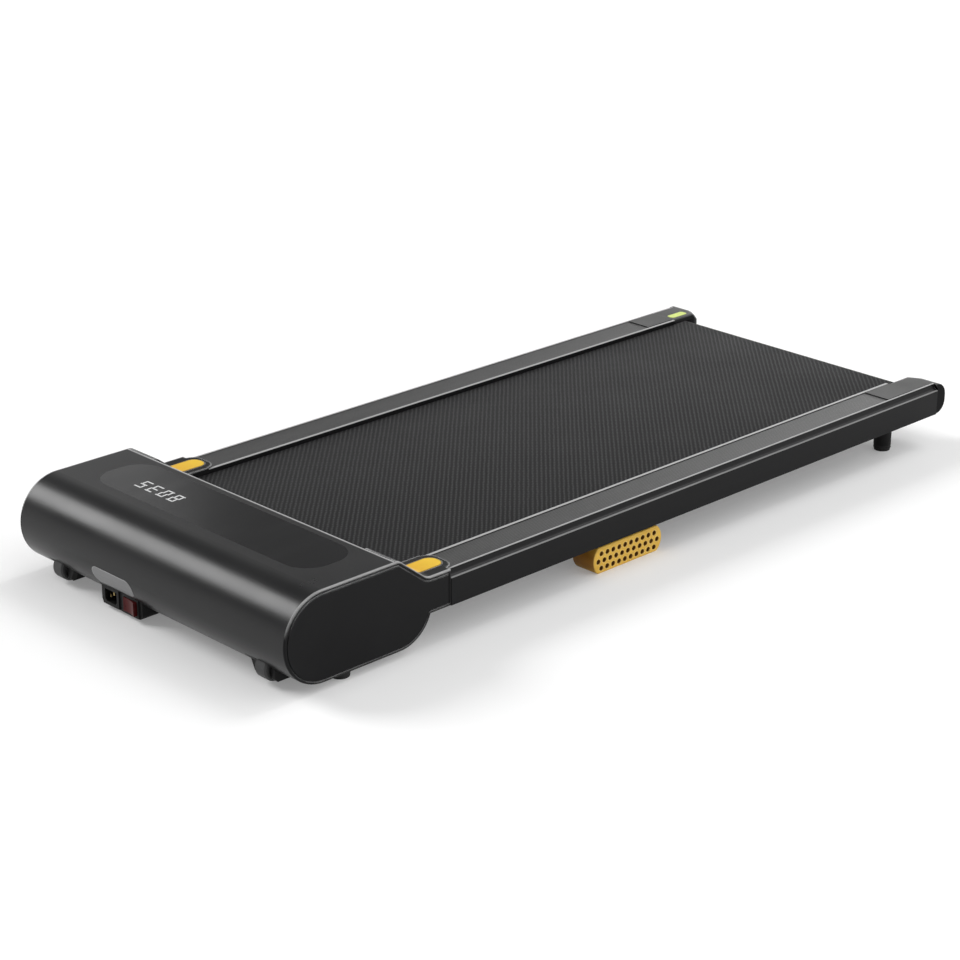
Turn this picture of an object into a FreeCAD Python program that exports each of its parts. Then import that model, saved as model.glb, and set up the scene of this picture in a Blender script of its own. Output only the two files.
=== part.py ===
import FreeCAD
import Part
import math
import os

Vec = FreeCAD.Vector

# Walking pad in millimetres: X runs from the hood to the tail, Y to the walker's right, Z up from the floor
LENGTH = 1240.0
WIDTH = 520.0
HEIGHT = 126.0

# Play between pieces, and how far a cutter passes the face that it cuts
FIT = 0.3
RUN_FIT = 0.05
OVERRUN = 5.0
SAME_POINT = 1e-6

# Hood: a moulded shell with a half-round nose, closed below by a pan and at the sides by end caps
HOOD_CLEARANCE = 10.0
HOOD_WALL = 3.0
HOOD_EDGE = 1.5
HOOD_BELT_GAP = 6.0
PAN_WALL = 3.0
PAN_BELT_GAP = 2.5
HEEL_R = 52.0
HEEL_OFFSET = 4.0
PILLAR_LENGTH = 25.0
VENT_LENGTH = 34.0
VENT_WIDTH = 3.0
VENT_PITCH = 8.0
VENT_COUNT = 7
VENT_PILLAR_GAP = 20.0
BOSS_R = 4.5
BOSS_INSET = 6.0
BOSS_SETBACK = 14.0
BOSS_ROOT = 1.0

# End caps: a flat face with a grooved rim, and a shoulder that slopes from the hood to the rail
CAP_FACE = 3.0
CAP_RIM = 3.4
CAP_GROOVE = 1.2
CAP_GROOVE_DEPTH = 1.0
CAP_EDGE = 2.2
SHOULDER_LENGTH = 86.0
SHOULDER_TONGUE = 14.5
SHOULDER_TONGUE_R = 17.0
SHOULDER_TONGUE_INSET = 1.0
SHOULDER_TONGUE_EDGE = 0.8
SHOULDER_SKIN = 3.0
SHOULDER_RISE = 2.5
SHOULDER_CREST_R = 10.0
SHOULDER_HOLLOW_R = 20.0
SHOULDER_FLAT = 31.1
INLAY_SETBACK = 22.0
INLAY_WIDTH = 27.0
INLAY_INSET = 11.5
INLAY_END_GAP = 7.0
INLAY_DEPTH = 1.5
INLAY_PROUD = 0.6
INLAY_R = 12.0

# Rails: extruded sections with two lips, a cove below the outer lip and a tread strip between the lips
RAIL_WIDTH = 57.0
RAIL_HEIGHT = 45.0
RAIL_CLEARANCE = 43.7
RAIL_WALL = 2.0
INNER_LIP = 4.0
OUTER_LIP = 2.5
COVE_WIDTH = 7.5
COVE_DROP = 8.2
EDGE_BREAK = 0.8
CHANNEL_DEPTH = 2.7
STRIP_THICK = 2.0
STRIP_INNER_GAP = 1.5
STRIP_OUTER_GAP = 0.6

# Rear caps: a rounded end on each rail, with a tongue along the rail's inner edge
DOME_LENGTH = 20.0
DOME_R = 19.0
TONGUE_LENGTH = 48.0
TONGUE_WIDTH = 24.0
TONGUE_DEPTH = 7.5
COVER_LENGTH = 103.0
COVER_PROUD = 0.5
TONGUE_SKIRT = 3.0
TONGUE_SKIRT_DROP = 16.0
TONGUE_ROUND = 9.0
DOME_EDGE = 2.5
DOME_CORNER = 27.0
KEY_HOLE_R = 7.2
LIME_LENGTH = 34.0
LIME_WIDTH = 13.0
LIME_DEPTH = 1.2
LIME_PROUD = 0.4
LIME_END_GAP = 28.0
LIME_INSET = 10.0

# Belt, deck and frame
BELT_GAP = 2.5
BELT_THICK = 1.8
BELT_DROP = 4.7
DECK_THICK = 12.0
DECK_BEARING = 22.0
DECK_ROLLER_GAP = 12.0
DECK_PULLEY_GAP = 4.0
DECK_RAIL_GAP = 0.6
CUSHION_THICK = 4.2
CUSHION_LENGTH = 40.0
CUSHION_WIDTH = 16.0
CUSHION_COUNT = 5
TUBE_WIDTH = 34.0
TUBE_WALL = 2.0
TUBE_INSET = 6.0
CROSS_TUBE_COUNT = 4
CROSS_TUBE_WIDTH = 20.0
CROSS_TUBE_HEIGHT = 16.0
CROSS_TUBE_END_GAP = 40.0

# Rollers with fixed shafts, and the drive
ROLLER_R = 18.0
ROLLER_WALL = 2.5
ROLLER_OVERHANG = 1.5
DRIVE_CENTRES = 81.0
FRONT_ROLLER_SETBACK = 37.5
REAR_ROLLER_INSET = 50.5
SHAFT_R = 6.0
BEARING_WIDTH = 10.0
BEARING_PRESS = 0.02
PULLEY_R = 32.0
PULLEY_WIDTH = 14.0
PULLEY_RIM = 5.0
PULLEY_WEB = 5.0
PULLEY_HUB = 5.0
PULLEY_BORE_GAP = 3.0
DRIVE_BELT_THICK = 2.0
DRIVE_BELT_MARGIN = 1.0
FRONT_BRACKET_GAP = 3.0
FRONT_BRACKET_WIDTH = 22.0
FRONT_BRACKET_FOOT = 12.0
FRONT_BRACKET_EAR = 14.0
FRONT_BRACKET_REACH = 55.0

# Take-up at the tail: slotted brackets with a bolt through each end of the rear shaft
TAKE_UP_WIDTH = 30.0
TAKE_UP_ROOF_GAP = 5.3
TAKE_UP_GAP = 2.0
TAKE_UP_TRAVEL = 6.0
TAKE_UP_TUBE_GAP = 21.5
TAKE_UP_END_GAP = 2.0
BOLT_R = 4.0
BOLT_HEAD_R = 6.5
BOLT_HEAD = 8.0
BOLT_SOCKET_R = 3.0
BOLT_SOCKET_DEPTH = 4.0
BOLT_TIP = 7.0

# Motor
MOTOR_R = 38.0
MOTOR_LENGTH = 110.0
MOTOR_WALL = 3.0
MOTOR_SHAFT_R = 5.0
MOTOR_SETBACK = 4.0
MOTOR_DROP = 2.0
MOTOR_PULLEY_R = 11.0
MOTOR_PULLEY_GAP = 22.0
MOTOR_SHAFT_END = 2.0
ARMATURE_R = 27.0
ARMATURE_MARGIN = 20.0
FAN_R = 33.0
FAN_WIDTH = 12.0
FAN_GAP = 3.0
FAN_DISC = 2.0
FAN_HUB_R = 9.0
FAN_BLADES = 9
FAN_BLADE = 2.0
CRADLE_WIDTH = 14.0
CRADLE_INSET = 12.0
CRADLE_HEIGHT = 34.0
CRADLE_BASE = 40.0
CRADLE_SCREW_GAP = 2.0
TERMINAL_SIZE = 16.0
TERMINAL_REACH = 4.0

# Controller and display
BOARD_LENGTH = 160.0
BOARD_DEPTH = 88.0
BOARD_THICK = 1.6
BOARD_RISE = 6.0
BOARD_INLET_GAP = 14.0
BOARD_NOSE_GAP = 8.0
STANDOFF_R = 3.0
STANDOFF_INSET = 6.0
SINK_BASE = 4.0
SINK_DEPTH = 30.0
SINK_LENGTH = 120.0
SINK_HEIGHT = 17.0
SINK_FIN = 2.0
SINK_FINS = 7
CAN_R = 10.0
CAN_HEIGHT = 36.0
CAN_PITCH = 25.0
CAN_END_GAP = 40.0
RELAY_DEPTH = 18.0
RELAY_LENGTH = 26.0
RELAY_HEIGHT = 16.0
RELAY_GAP = 12.0
PLUG_SIZE = 14.0
PLUG_HEIGHT = 10.0
PLUG_BELT_GAP = 9.6
DISPLAY_PLUG_GAP = 46.0
WINDOW_DEPTH = 86.0
WINDOW_END_GAP = 47.0
WINDOW_ROUND_SHARE = 0.42
WINDOW_THICK = 1.5
WINDOW_SETBACK = 12.5
DIGITS_SETBACK = 63.5
DIGITS_END_GAP = 45.0
LED_DEPTH = 34.0
LED_WIDTH = 112.0
LED_HEIGHT = 5.5
LED_GAP = 0.5
DISPLAY_MARGIN = 7.0
POST_R = 2.2

# Mains inlet under the nose, and the bare plate above it
INLET_OFFSET = 71.0
INLET_WIDTH = 82.0
INLET_HEIGHT = 27.5
INLET_CLEARANCE = 4.5
INLET_SETBACK = 16.0
INLET_ROUND = 7.0
MODULE_GAP = 1.0
MODULE_WIDTH = 29.0
MODULE_HEIGHT = 22.0
MODULE_DEPTH = 28.0
MODULE_FLANGE = 2.0
MODULE_MARGIN = 1.5
SOCKET_WIDTH = 24.0
SOCKET_HEIGHT = 16.4
SOCKET_DEPTH = 20.0
SOCKET_CHAMFER = 3.0
BLADE_WIDTH = 2.0
BLADE_HEIGHT = 4.0
BLADE_LENGTH = 15.0
BLADE_PITCH = 14.0
BLADE_RISE = 4.0
ROCKER_WIDTH = 24.0
ROCKER_HEIGHT = 18.2
ROCKER_OPENING = 26.0
ROCKER_OPENING_HEIGHT = 19.0
ROCKER_CREST = 3.0
ROCKER_DIP = 1.2
ROCKER_SKIRT = 4.0
ROCKER_KEEL = 7.0
ROCKER_KEEL_WIDTH = 6.0
ROCKER_PIVOT_DEPTH = 2.0
ROCKER_PIN_R = 1.5
ROCKER_PIN = 1.2
ROCKER_TILT = 7.0
ROCKER_POCKET = 14.0
PLATE_WIDTH = 80.0
PLATE_HEIGHT = 23.3
PLATE_DEPTH = 1.2
PLATE_PROUD = 0.3
PLATE_GAP = 4.3
PLATE_END_SHARE = 0.45

# Transport wheels in forks under the nose
WHEEL_DRIVE_GAP = 5.2
WHEEL_WIDTH = 20.0
WHEEL_EDGE = 2.0
WHEEL_TREAD = 3.0
WHEEL_CLEARANCE = 4.5
WHEEL_INSET = 60.0
WHEEL_NOSE_GAP = 11.0
AXLE_R = 3.0
FORK_INNER = 5.5
FORK_OUTER = 6.5
FORK_SIDE_GAP = 0.5
FORK_WHEEL_GAP = 2.0
FORK_CLEARANCE = 7.0
FORK_FRONT_MARGIN = 1.5
FORK_SETBACK = 8.0
FORK_TOE = 5.0
FORK_REAR_WALL = 2.5
FORK_TOP = 6.0
FORK_REAR_BEVEL = 9.0
FORK_FRONT_BEVEL = 9.0
FORK_FRONT_DROP = 18.0
FORK_GUSSET = 13.0
FORK_GUSSET_HEIGHT = 26.0
FORK_GUSSET_LENGTH = 18.0

# Feet and shock blocks
FRONT_FOOT_R = 13.0
FRONT_FOOT_SETBACK = 76.0
FRONT_FOOT_INSET = 18.0
FOOT_ROUND = 1.5
REAR_FOOT_R = 12.5
REAR_FOOT_HEIGHT = 8.0
REAR_LEG_FLARE = 4.0
REAR_LEG_FLARE_HEIGHT = 9.0
REAR_LEG_INSET = 95.0
REAR_LEG_OFFSET = 14.0
BLOCK_LENGTH = 128.0
BLOCK_PLATE = 7.7
BLOCK_DEPTH = 38.0
BLOCK_INSET = 10.0
BLOCK_BULGE = 9.0
BLOCK_PLACE_SHARE = 0.3339
BLOCK_ROUND = 2.0
BLOCK_HOLE_R = 3.3
BLOCK_HOLE_ROWS = (10, 11, 10)
BLOCK_ROW_SHARE = 0.275
BLOCK_ROW_DROP = 1.0
BLOCK_PLATE_MARGIN = 6.0

# Screws
SCREW_R = 1.8
SCREW_HEAD_R = 3.6
SCREW_HEAD = 2.0
SCREW_LENGTH = 14.0
RAIL_SCREW_END_GAP = 60.0
RAIL_SCREW_BLOCK_GAP = 12.0
DECK_SCREW_LENGTH = 16.0

# Leads inside the hood
MAINS_LEAD_R = 3.0
MAINS_LEAD_BEND = 11.0
MAINS_LEAD_LOOP = 30.0
MAINS_LEAD_BACK = 3.4
MOTOR_LEAD_R = 2.2
MOTOR_LEAD_BEND = 4.5
DISPLAY_LEAD_R = 1.5
DISPLAY_LEAD_BEND = 18.0
DISPLAY_LEAD_SWAY = 14.0

# Main faces and axes
FRONT = -LENGTH / 2
TAIL = LENGTH / 2
SIDE = WIDTH / 2
CAP_INSIDE = SIDE - CAP_FACE
NOSE_R = (HEIGHT - HOOD_CLEARANCE) / 2
NOSE_X = FRONT + NOSE_R
NOSE_Z = HOOD_CLEARANCE + NOSE_R
MOTOR_X = NOSE_X - MOTOR_SETBACK
MOTOR_Z = NOSE_Z - MOTOR_DROP
FRONT_AXIS = MOTOR_X + DRIVE_CENTRES
HOOD_REAR = FRONT_AXIS + FRONT_ROLLER_SETBACK
HOOD_CEILING = HEIGHT - HOOD_WALL
PAN_TOP = HOOD_CLEARANCE + PAN_WALL
HEEL_X = HOOD_REAR + HEEL_OFFSET
RAIL_TOP = RAIL_CLEARANCE + RAIL_HEIGHT
RAIL_INSIDE = SIDE - RAIL_WIDTH
RAIL_START = HOOD_REAR + SHOULDER_LENGTH
RAIL_END = TAIL - DOME_LENGTH
CHANNEL_FLOOR = RAIL_TOP - CHANNEL_DEPTH
CHANNEL_INSIDE = RAIL_INSIDE + INNER_LIP
CHANNEL_OUTSIDE = SIDE - COVE_WIDTH - OUTER_LIP
SHOULDER_END = RAIL_START + SHOULDER_TONGUE
NOTCH_START = RAIL_END - TONGUE_LENGTH
NOTCH_SIDE = RAIL_INSIDE + TONGUE_WIDTH
COVER_START = RAIL_END - COVER_LENGTH
BELT_TOP = RAIL_TOP - BELT_DROP
DECK_TOP = BELT_TOP - BELT_THICK - FIT
DECK_BOTTOM = DECK_TOP - DECK_THICK
RAIL_FOOT = DECK_TOP + DECK_RAIL_GAP
TUBE_INSIDE = RAIL_INSIDE + TUBE_INSET
TUBE_OUTSIDE = TUBE_INSIDE + TUBE_WIDTH
TUBE_BOTTOM = RAIL_CLEARANCE + RAIL_WALL
TUBE_TOP = DECK_BOTTOM - CUSHION_THICK
DECK_EDGE = TUBE_INSIDE + DECK_BEARING
ROLLER_Z = BELT_TOP - BELT_THICK - FIT - ROLLER_R
BELT_BOTTOM = ROLLER_Z - ROLLER_R - FIT - BELT_THICK
BELT_HALF = RAIL_INSIDE - BELT_GAP
ROLLER_HALF = BELT_HALF + ROLLER_OVERHANG
REAR_AXIS = TAIL - REAR_ROLLER_INSET
TUBE_FRONT = FRONT_AXIS + FRONT_BRACKET_REACH
TUBE_REAR = REAR_AXIS - TAKE_UP_TUBE_GAP
DECK_FRONT = FRONT_AXIS + PULLEY_R + FIT + DRIVE_BELT_THICK + DECK_PULLEY_GAP
DECK_REAR = REAR_AXIS - ROLLER_R - DECK_ROLLER_GAP
PULLEY_OUTSIDE = ROLLER_HALF + PULLEY_WIDTH
FRONT_BRACKET_INSIDE = PULLEY_OUTSIDE + FRONT_BRACKET_GAP
FRONT_BRACKET_OUTSIDE = FRONT_BRACKET_INSIDE + FRONT_BRACKET_WIDTH
TAKE_UP_INSIDE = TUBE_INSIDE + TAKE_UP_GAP
TAKE_UP_MIDDLE = TAKE_UP_INSIDE + TAKE_UP_WIDTH / 2
TAKE_UP_REAR = RAIL_END - TAKE_UP_END_GAP
MOTOR_LEFT = -(ROLLER_HALF - MOTOR_PULLEY_GAP)
MOTOR_RIGHT = MOTOR_LEFT + MOTOR_LENGTH
FAN_LEFT = MOTOR_RIGHT + FAN_GAP
CRADLE_SCREW_TIP = MOTOR_Z - MOTOR_R - CRADLE_SCREW_GAP
BOARD_BOTTOM = PAN_TOP + BOARD_RISE
BOARD_TOP = BOARD_BOTTOM + BOARD_THICK
BOARD_FRONT = NOSE_X + BOARD_NOSE_GAP
BOARD_RIGHT = INLET_OFFSET + INLET_WIDTH / 2 + BOARD_INLET_GAP
BOARD_LEFT = BOARD_RIGHT - BOARD_LENGTH
PLUG_X = FRONT_AXIS - ROLLER_R - FIT - BELT_THICK - PLUG_BELT_GAP
WINDOW_BOTTOM = HEIGHT - WINDOW_THICK
WINDOW_REAR = HOOD_REAR - WINDOW_SETBACK
WINDOW_HALF = CAP_INSIDE - WINDOW_END_GAP
DIGITS_Y = WINDOW_HALF - DIGITS_END_GAP - LED_WIDTH / 2
DISPLAY_TOP = WINDOW_BOTTOM - LED_HEIGHT
DISPLAY_X = HOOD_REAR - DIGITS_SETBACK
INLET_FRONT = FRONT + INLET_SETBACK
INLET_TOP = INLET_CLEARANCE + INLET_HEIGHT
INLET_Z = INLET_CLEARANCE + INLET_HEIGHT / 2
MODULE_PITCH = INLET_WIDTH / 2 - MODULE_GAP
SOCKET_Y = INLET_OFFSET + MODULE_PITCH / 2
SWITCH_Y = INLET_OFFSET - MODULE_PITCH / 2
MODULE_FRONT = INLET_FRONT - MODULE_FLANGE
ROCKER_PIVOT_X = MODULE_FRONT + ROCKER_PIVOT_DEPTH
DRIVE_BOTTOM = MOTOR_Z - MOTOR_PULLEY_R - FIT - DRIVE_BELT_THICK
FORK_CROWN = DRIVE_BOTTOM - WHEEL_DRIVE_GAP
WHEEL_R = (FORK_CROWN - FORK_TOP - FORK_WHEEL_GAP - WHEEL_CLEARANCE) / 2
WHEEL_X = FRONT + WHEEL_NOSE_GAP + WHEEL_R
WHEEL_Z = WHEEL_CLEARANCE + WHEEL_R
WHEEL_OFFSET = SIDE - WHEEL_INSET
FORK_INSIDE = WHEEL_OFFSET - WHEEL_WIDTH / 2 - FORK_SIDE_GAP - FORK_INNER
FORK_OUTSIDE = WHEEL_OFFSET + WHEEL_WIDTH / 2 + FORK_SIDE_GAP + FORK_OUTER
REAR_LEG_X = TAIL - REAR_LEG_INSET
REAR_LEG_Y = TUBE_INSIDE + REAR_LEG_OFFSET
BLOCK_OUTSIDE = SIDE - BLOCK_INSET
BLOCK_INSIDE = BLOCK_OUTSIDE - BLOCK_DEPTH
BLOCK_X = RAIL_START + (RAIL_END - RAIL_START) * BLOCK_PLACE_SHARE
BLOCK_HEIGHT = RAIL_CLEARANCE - BLOCK_PLATE
BLOCK_FLAT = BLOCK_LENGTH / 2 - BLOCK_BULGE
BLOCK_HOLE_PITCH = BLOCK_FLAT * 2 / (max(BLOCK_HOLE_ROWS) - 1)
BOSS_Y = CAP_INSIDE - BOSS_INSET
BOSS_XS = (NOSE_X + BOSS_SETBACK, HOOD_REAR - HOOD_WALL - BOSS_R + BOSS_ROOT)


def side_view(x, z):
    return Vec(x, 0, z)


def cross_section(y, z):
    return Vec(0, y, z)


def plan(x, y):
    return Vec(x, y, 0)


def outline(place, *steps):
    """Closed face: a pair is a corner, and four numbers are an arc through one point to the next."""
    edges = []
    last = place(*steps[0])
    for step in steps[1:] + steps[:1]:
        end = place(*step[-2:])
        if len(step) == 4:
            edges.append(Part.Arc(last, place(*step[:2]), end).toShape())
        elif not end.isEqual(last, SAME_POINT):
            edges.append(Part.makeLine(last, end))
        last = end
    return Part.Face(Part.Wire(edges))


def across(face, start, end):
    face = face.translated(Vec(0, start, 0))
    return face.extrude(Vec(0, end - start, 0))


def along(face, start, end):
    face = face.translated(Vec(start, 0, 0))
    return face.extrude(Vec(end - start, 0, 0))


def upright(face, start, end):
    face = face.translated(Vec(0, 0, start))
    return face.extrude(Vec(0, 0, end - start))


def box(x0, x1, y0, y1, z0, z1):
    return Part.makeBox(x1 - x0, y1 - y0, z1 - z0, Vec(x0, y0, z0))


def rod_along(radius, x0, x1, y, z):
    return Part.makeCylinder(radius, x1 - x0, Vec(x0, y, z), Vec(1, 0, 0))


def rod_across(radius, y0, y1, x, z):
    return Part.makeCylinder(radius, y1 - y0, Vec(x, y0, z), Vec(0, 1, 0))


def rod_up(radius, z0, z1, x, y):
    return Part.makeCylinder(radius, z1 - z0, Vec(x, y, z0), Vec(0, 0, 1))


def rounded(place, a0, a1, b0, b1, radius):
    """Rectangle with round corners."""
    inset = radius * (1 - math.sqrt(0.5))
    return outline(
        place,
        (a0 + radius, b0),
        (a1 - radius, b0),
        (a1 - inset, b0 + inset, a1, b0 + radius),
        (a1, b1 - radius),
        (a1 - inset, b1 - inset, a1 - radius, b1),
        (a0 + radius, b1),
        (a0 + inset, b1 - inset, a0, b1 - radius),
        (a0, b0 + radius),
        (a0 + inset, b0 + inset, a0 + radius, b0),
    )


def left_of(shape):
    """Left-hand copy of a piece modelled on the right."""
    return shape.mirror(Vec(0, 0, 0), Vec(0, 1, 0))


def pair(shape):
    return Part.makeCompound([left_of(shape), shape])


def spread(start, end, count):
    """Evenly spaced places from start to end."""
    return [start + (end - start) * index / (count - 1) for index in range(count)]


def on_circle(x, z, radius, angle):
    return x + radius * math.cos(angle), z + radius * math.sin(angle)


def belt_face(x1, z1, r1, x2, z2, r2):
    """Face inside a belt that runs round two circles."""
    lean = math.atan2(z2 - z1, x2 - x1)
    turn = math.acos((r1 - r2) / math.hypot(x2 - x1, z2 - z1))
    return outline(
        side_view,
        on_circle(x1, z1, r1, lean + turn),
        on_circle(x1, z1, r1, lean + math.pi) + on_circle(x1, z1, r1, lean - turn),
        on_circle(x2, z2, r2, lean - turn),
        on_circle(x2, z2, r2, lean) + on_circle(x2, z2, r2, lean + turn),
    )


def screw(x, y, seat, length):
    """Cap screw that points up, with its head below the seat."""
    head = rod_up(SCREW_HEAD_R, seat - SCREW_HEAD, seat, x, y)
    return head.fuse(rod_up(SCREW_R, seat, seat + length, x, y))


def heel_angle(height):
    """How far round the heel's curve a height above the hood's floor lies."""
    return math.acos(1 - (height - HOOD_CLEARANCE) / HEEL_R)


def heel_point(radius, angle):
    return on_circle(HEEL_X, HOOD_CLEARANCE + HEEL_R, radius, angle - math.pi / 2)


def shoulder_slope():
    """Angle of the straight that is tangent to the crest and to the hollow."""
    run = SHOULDER_LENGTH - SHOULDER_FLAT
    rise = SHOULDER_CREST_R + SHOULDER_HOLLOW_R - (HEIGHT - RAIL_TOP - SHOULDER_RISE)
    reach = SHOULDER_CREST_R + SHOULDER_HOLLOW_R
    return math.asin(reach / math.hypot(run, rise)) - math.atan2(rise, run)


def shoulder_steps(lift):
    """Steps from the hood's rear edge down to the rail: crest, straight slope and hollow."""
    turn = shoulder_slope()
    low = RAIL_TOP + SHOULDER_RISE + lift
    quarter = math.pi / 2
    crest = (HOOD_REAR, HEIGHT + lift - SHOULDER_CREST_R, SHOULDER_CREST_R)
    hollow = (RAIL_START - SHOULDER_FLAT, low + SHOULDER_HOLLOW_R, SHOULDER_HOLLOW_R)
    return (
        (HOOD_REAR, HEIGHT + lift),
        on_circle(*crest, quarter - turn / 2) + on_circle(*crest, quarter - turn),
        on_circle(*hollow, -quarter - turn),
        on_circle(*hollow, -quarter - turn / 2) + (RAIL_START - SHOULDER_FLAT, low),
    )


def shoulder_face(lift, end):
    """Side view of the shoulder down to just above the deck."""
    low = RAIL_TOP + SHOULDER_RISE + lift
    return outline(
        side_view,
        *shoulder_steps(lift),
        (end, low),
        (end, RAIL_FOOT),
        (HOOD_REAR, RAIL_FOOT),
    )


def hood_cover():
    """Shell over the motor: rear wall, flat top and half-round nose."""
    lip = BELT_TOP + HOOD_BELT_GAP
    inside_r = NOSE_R - HOOD_WALL
    profile = outline(
        side_view,
        (HOOD_REAR, lip),
        (HOOD_REAR, HEIGHT - HOOD_EDGE),
        (HOOD_REAR - HOOD_EDGE, HEIGHT),
        (NOSE_X, HEIGHT),
        (FRONT, NOSE_Z, NOSE_X, HOOD_CLEARANCE),
        (NOSE_X, HOOD_CLEARANCE + HOOD_WALL),
        (NOSE_X - inside_r, NOSE_Z, NOSE_X, HOOD_CEILING),
        (HOOD_REAR - HOOD_WALL, HOOD_CEILING),
        (HOOD_REAR - HOOD_WALL, lip),
    )
    shell = across(profile, -CAP_INSIDE, CAP_INSIDE)
    for x in BOSS_XS:
        boss = rod_up(BOSS_R, PAN_TOP, HOOD_CEILING, x, BOSS_Y)
        pilot = rod_up(SCREW_R, PAN_TOP, HOOD_CLEARANCE + SCREW_HEAD + SCREW_LENGTH, x, BOSS_Y)
        shell = shell.fuse(pair(boss.cut(pilot)))
    for x in (DISPLAY_X - LED_DEPTH / 2 - DISPLAY_MARGIN / 2, DISPLAY_X + LED_DEPTH / 2 + DISPLAY_MARGIN / 2):
        for y in (DIGITS_Y - LED_WIDTH / 2, DIGITS_Y + LED_WIDTH / 2):
            shell = shell.fuse(rod_up(POST_R, DISPLAY_TOP, HOOD_CEILING, x, y))
    shell = shell.cut(window_slab(WINDOW_BOTTOM, HEIGHT + OVERRUN))
    shell = shell.cut(display_block(LED_GAP, DISPLAY_TOP + LED_GAP, HEIGHT))
    shell = shell.cut(plate_band(-PLATE_DEPTH, OVERRUN))
    shell = shell.cut(inlet_box(FRONT - OVERRUN))
    return shell.cut(pair(fork_envelope()))


def window_slab(bottom, top):
    """Lozenge of the display window."""
    front = WINDOW_REAR - WINDOW_DEPTH
    radius = WINDOW_DEPTH * WINDOW_ROUND_SHARE
    face = rounded(plan, front, WINDOW_REAR, -WINDOW_HALF, WINDOW_HALF, radius)
    return upright(face, bottom, top)


def display_block(gap, bottom, top):
    """Block of the lit digits, with a gap round it."""
    return box(
        DISPLAY_X - LED_DEPTH / 2 - gap,
        DISPLAY_X + LED_DEPTH / 2 + gap,
        DIGITS_Y - LED_WIDTH / 2 - gap,
        DIGITS_Y + LED_WIDTH / 2 + gap,
        bottom,
        top,
    )


def display_module():
    """Digit block on its circuit board, hung from posts under the hood's top."""
    board = display_block(DISPLAY_MARGIN, DISPLAY_TOP - BOARD_THICK, DISPLAY_TOP)
    return board.fuse(display_block(0, DISPLAY_TOP, WINDOW_BOTTOM))


def base_pan():
    """Floor of the hood, with a curved heel, pillars under the frame, vents and screw seats."""
    lip = heel_angle(BELT_BOTTOM - PAN_BELT_GAP)
    inside_r = HEEL_R - PAN_WALL
    profile = outline(
        side_view,
        (NOSE_X, HOOD_CLEARANCE),
        (HEEL_X, HOOD_CLEARANCE),
        heel_point(HEEL_R, lip / 2) + heel_point(HEEL_R, lip),
        heel_point(inside_r, lip),
        heel_point(inside_r, lip / 2) + (HEEL_X, PAN_TOP),
        (NOSE_X, PAN_TOP),
    )
    pan = across(profile, -CAP_INSIDE, CAP_INSIDE)
    full = heel_angle(RAIL_CLEARANCE)
    heel_end = heel_point(HEEL_R, full)
    room = outline(
        side_view,
        (NOSE_X, HOOD_CLEARANCE),
        (HEEL_X, HOOD_CLEARANCE),
        heel_point(HEEL_R, full / 2) + heel_end,
        (heel_end[0], TUBE_BOTTOM),
        (NOSE_X, TUBE_BOTTOM),
    )
    room = across(room, FRONT_BRACKET_INSIDE, FRONT_BRACKET_OUTSIDE)
    for x in (FRONT_AXIS - PILLAR_LENGTH / 2, TUBE_FRONT):
        column = box(x, x + PILLAR_LENGTH, 0, SIDE, HOOD_CLEARANCE, TUBE_BOTTOM)
        pan = pan.fuse(pair(column.common(room)))
    for x in BOSS_XS:
        seat = rod_up(SCREW_HEAD_R + FIT, HOOD_CLEARANCE - OVERRUN, HOOD_CLEARANCE + SCREW_HEAD, x, BOSS_Y)
        hole = rod_up(SCREW_R, HOOD_CLEARANCE, PAN_TOP + OVERRUN, x, BOSS_Y)
        pan = pan.cut(pair(seat.fuse(hole)))
    for x, y in cradle_screw_places():
        seat = rod_up(SCREW_HEAD_R + FIT, HOOD_CLEARANCE - OVERRUN, HOOD_CLEARANCE + SCREW_HEAD, x, y)
        pan = pan.cut(seat.fuse(rod_up(SCREW_R, HOOD_CLEARANCE, PAN_TOP + OVERRUN, x, y)))
    for index in range(VENT_COUNT):
        y = FRONT_BRACKET_INSIDE - VENT_PILLAR_GAP - VENT_PITCH * index
        slot = box(
            HEEL_X - VENT_LENGTH,
            HEEL_X,
            y - VENT_WIDTH / 2,
            y + VENT_WIDTH / 2,
            HOOD_CLEARANCE - OVERRUN,
            PAN_TOP + OVERRUN,
        )
        pan = pan.cut(pair(slot))
    return pan


def cap_outline():
    """Side view of an end cap: hood, shoulder, rail height and heel."""
    full = heel_angle(RAIL_CLEARANCE)
    return outline(
        side_view,
        (NOSE_X, HEIGHT),
        *shoulder_steps(0),
        (RAIL_START, RAIL_TOP + SHOULDER_RISE),
        (RAIL_START, RAIL_CLEARANCE),
        heel_point(HEEL_R, full),
        heel_point(HEEL_R, full / 2) + (HEEL_X, HOOD_CLEARANCE),
        (NOSE_X, HOOD_CLEARANCE),
        (FRONT, NOSE_Z, NOSE_X, HEIGHT),
    )


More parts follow.
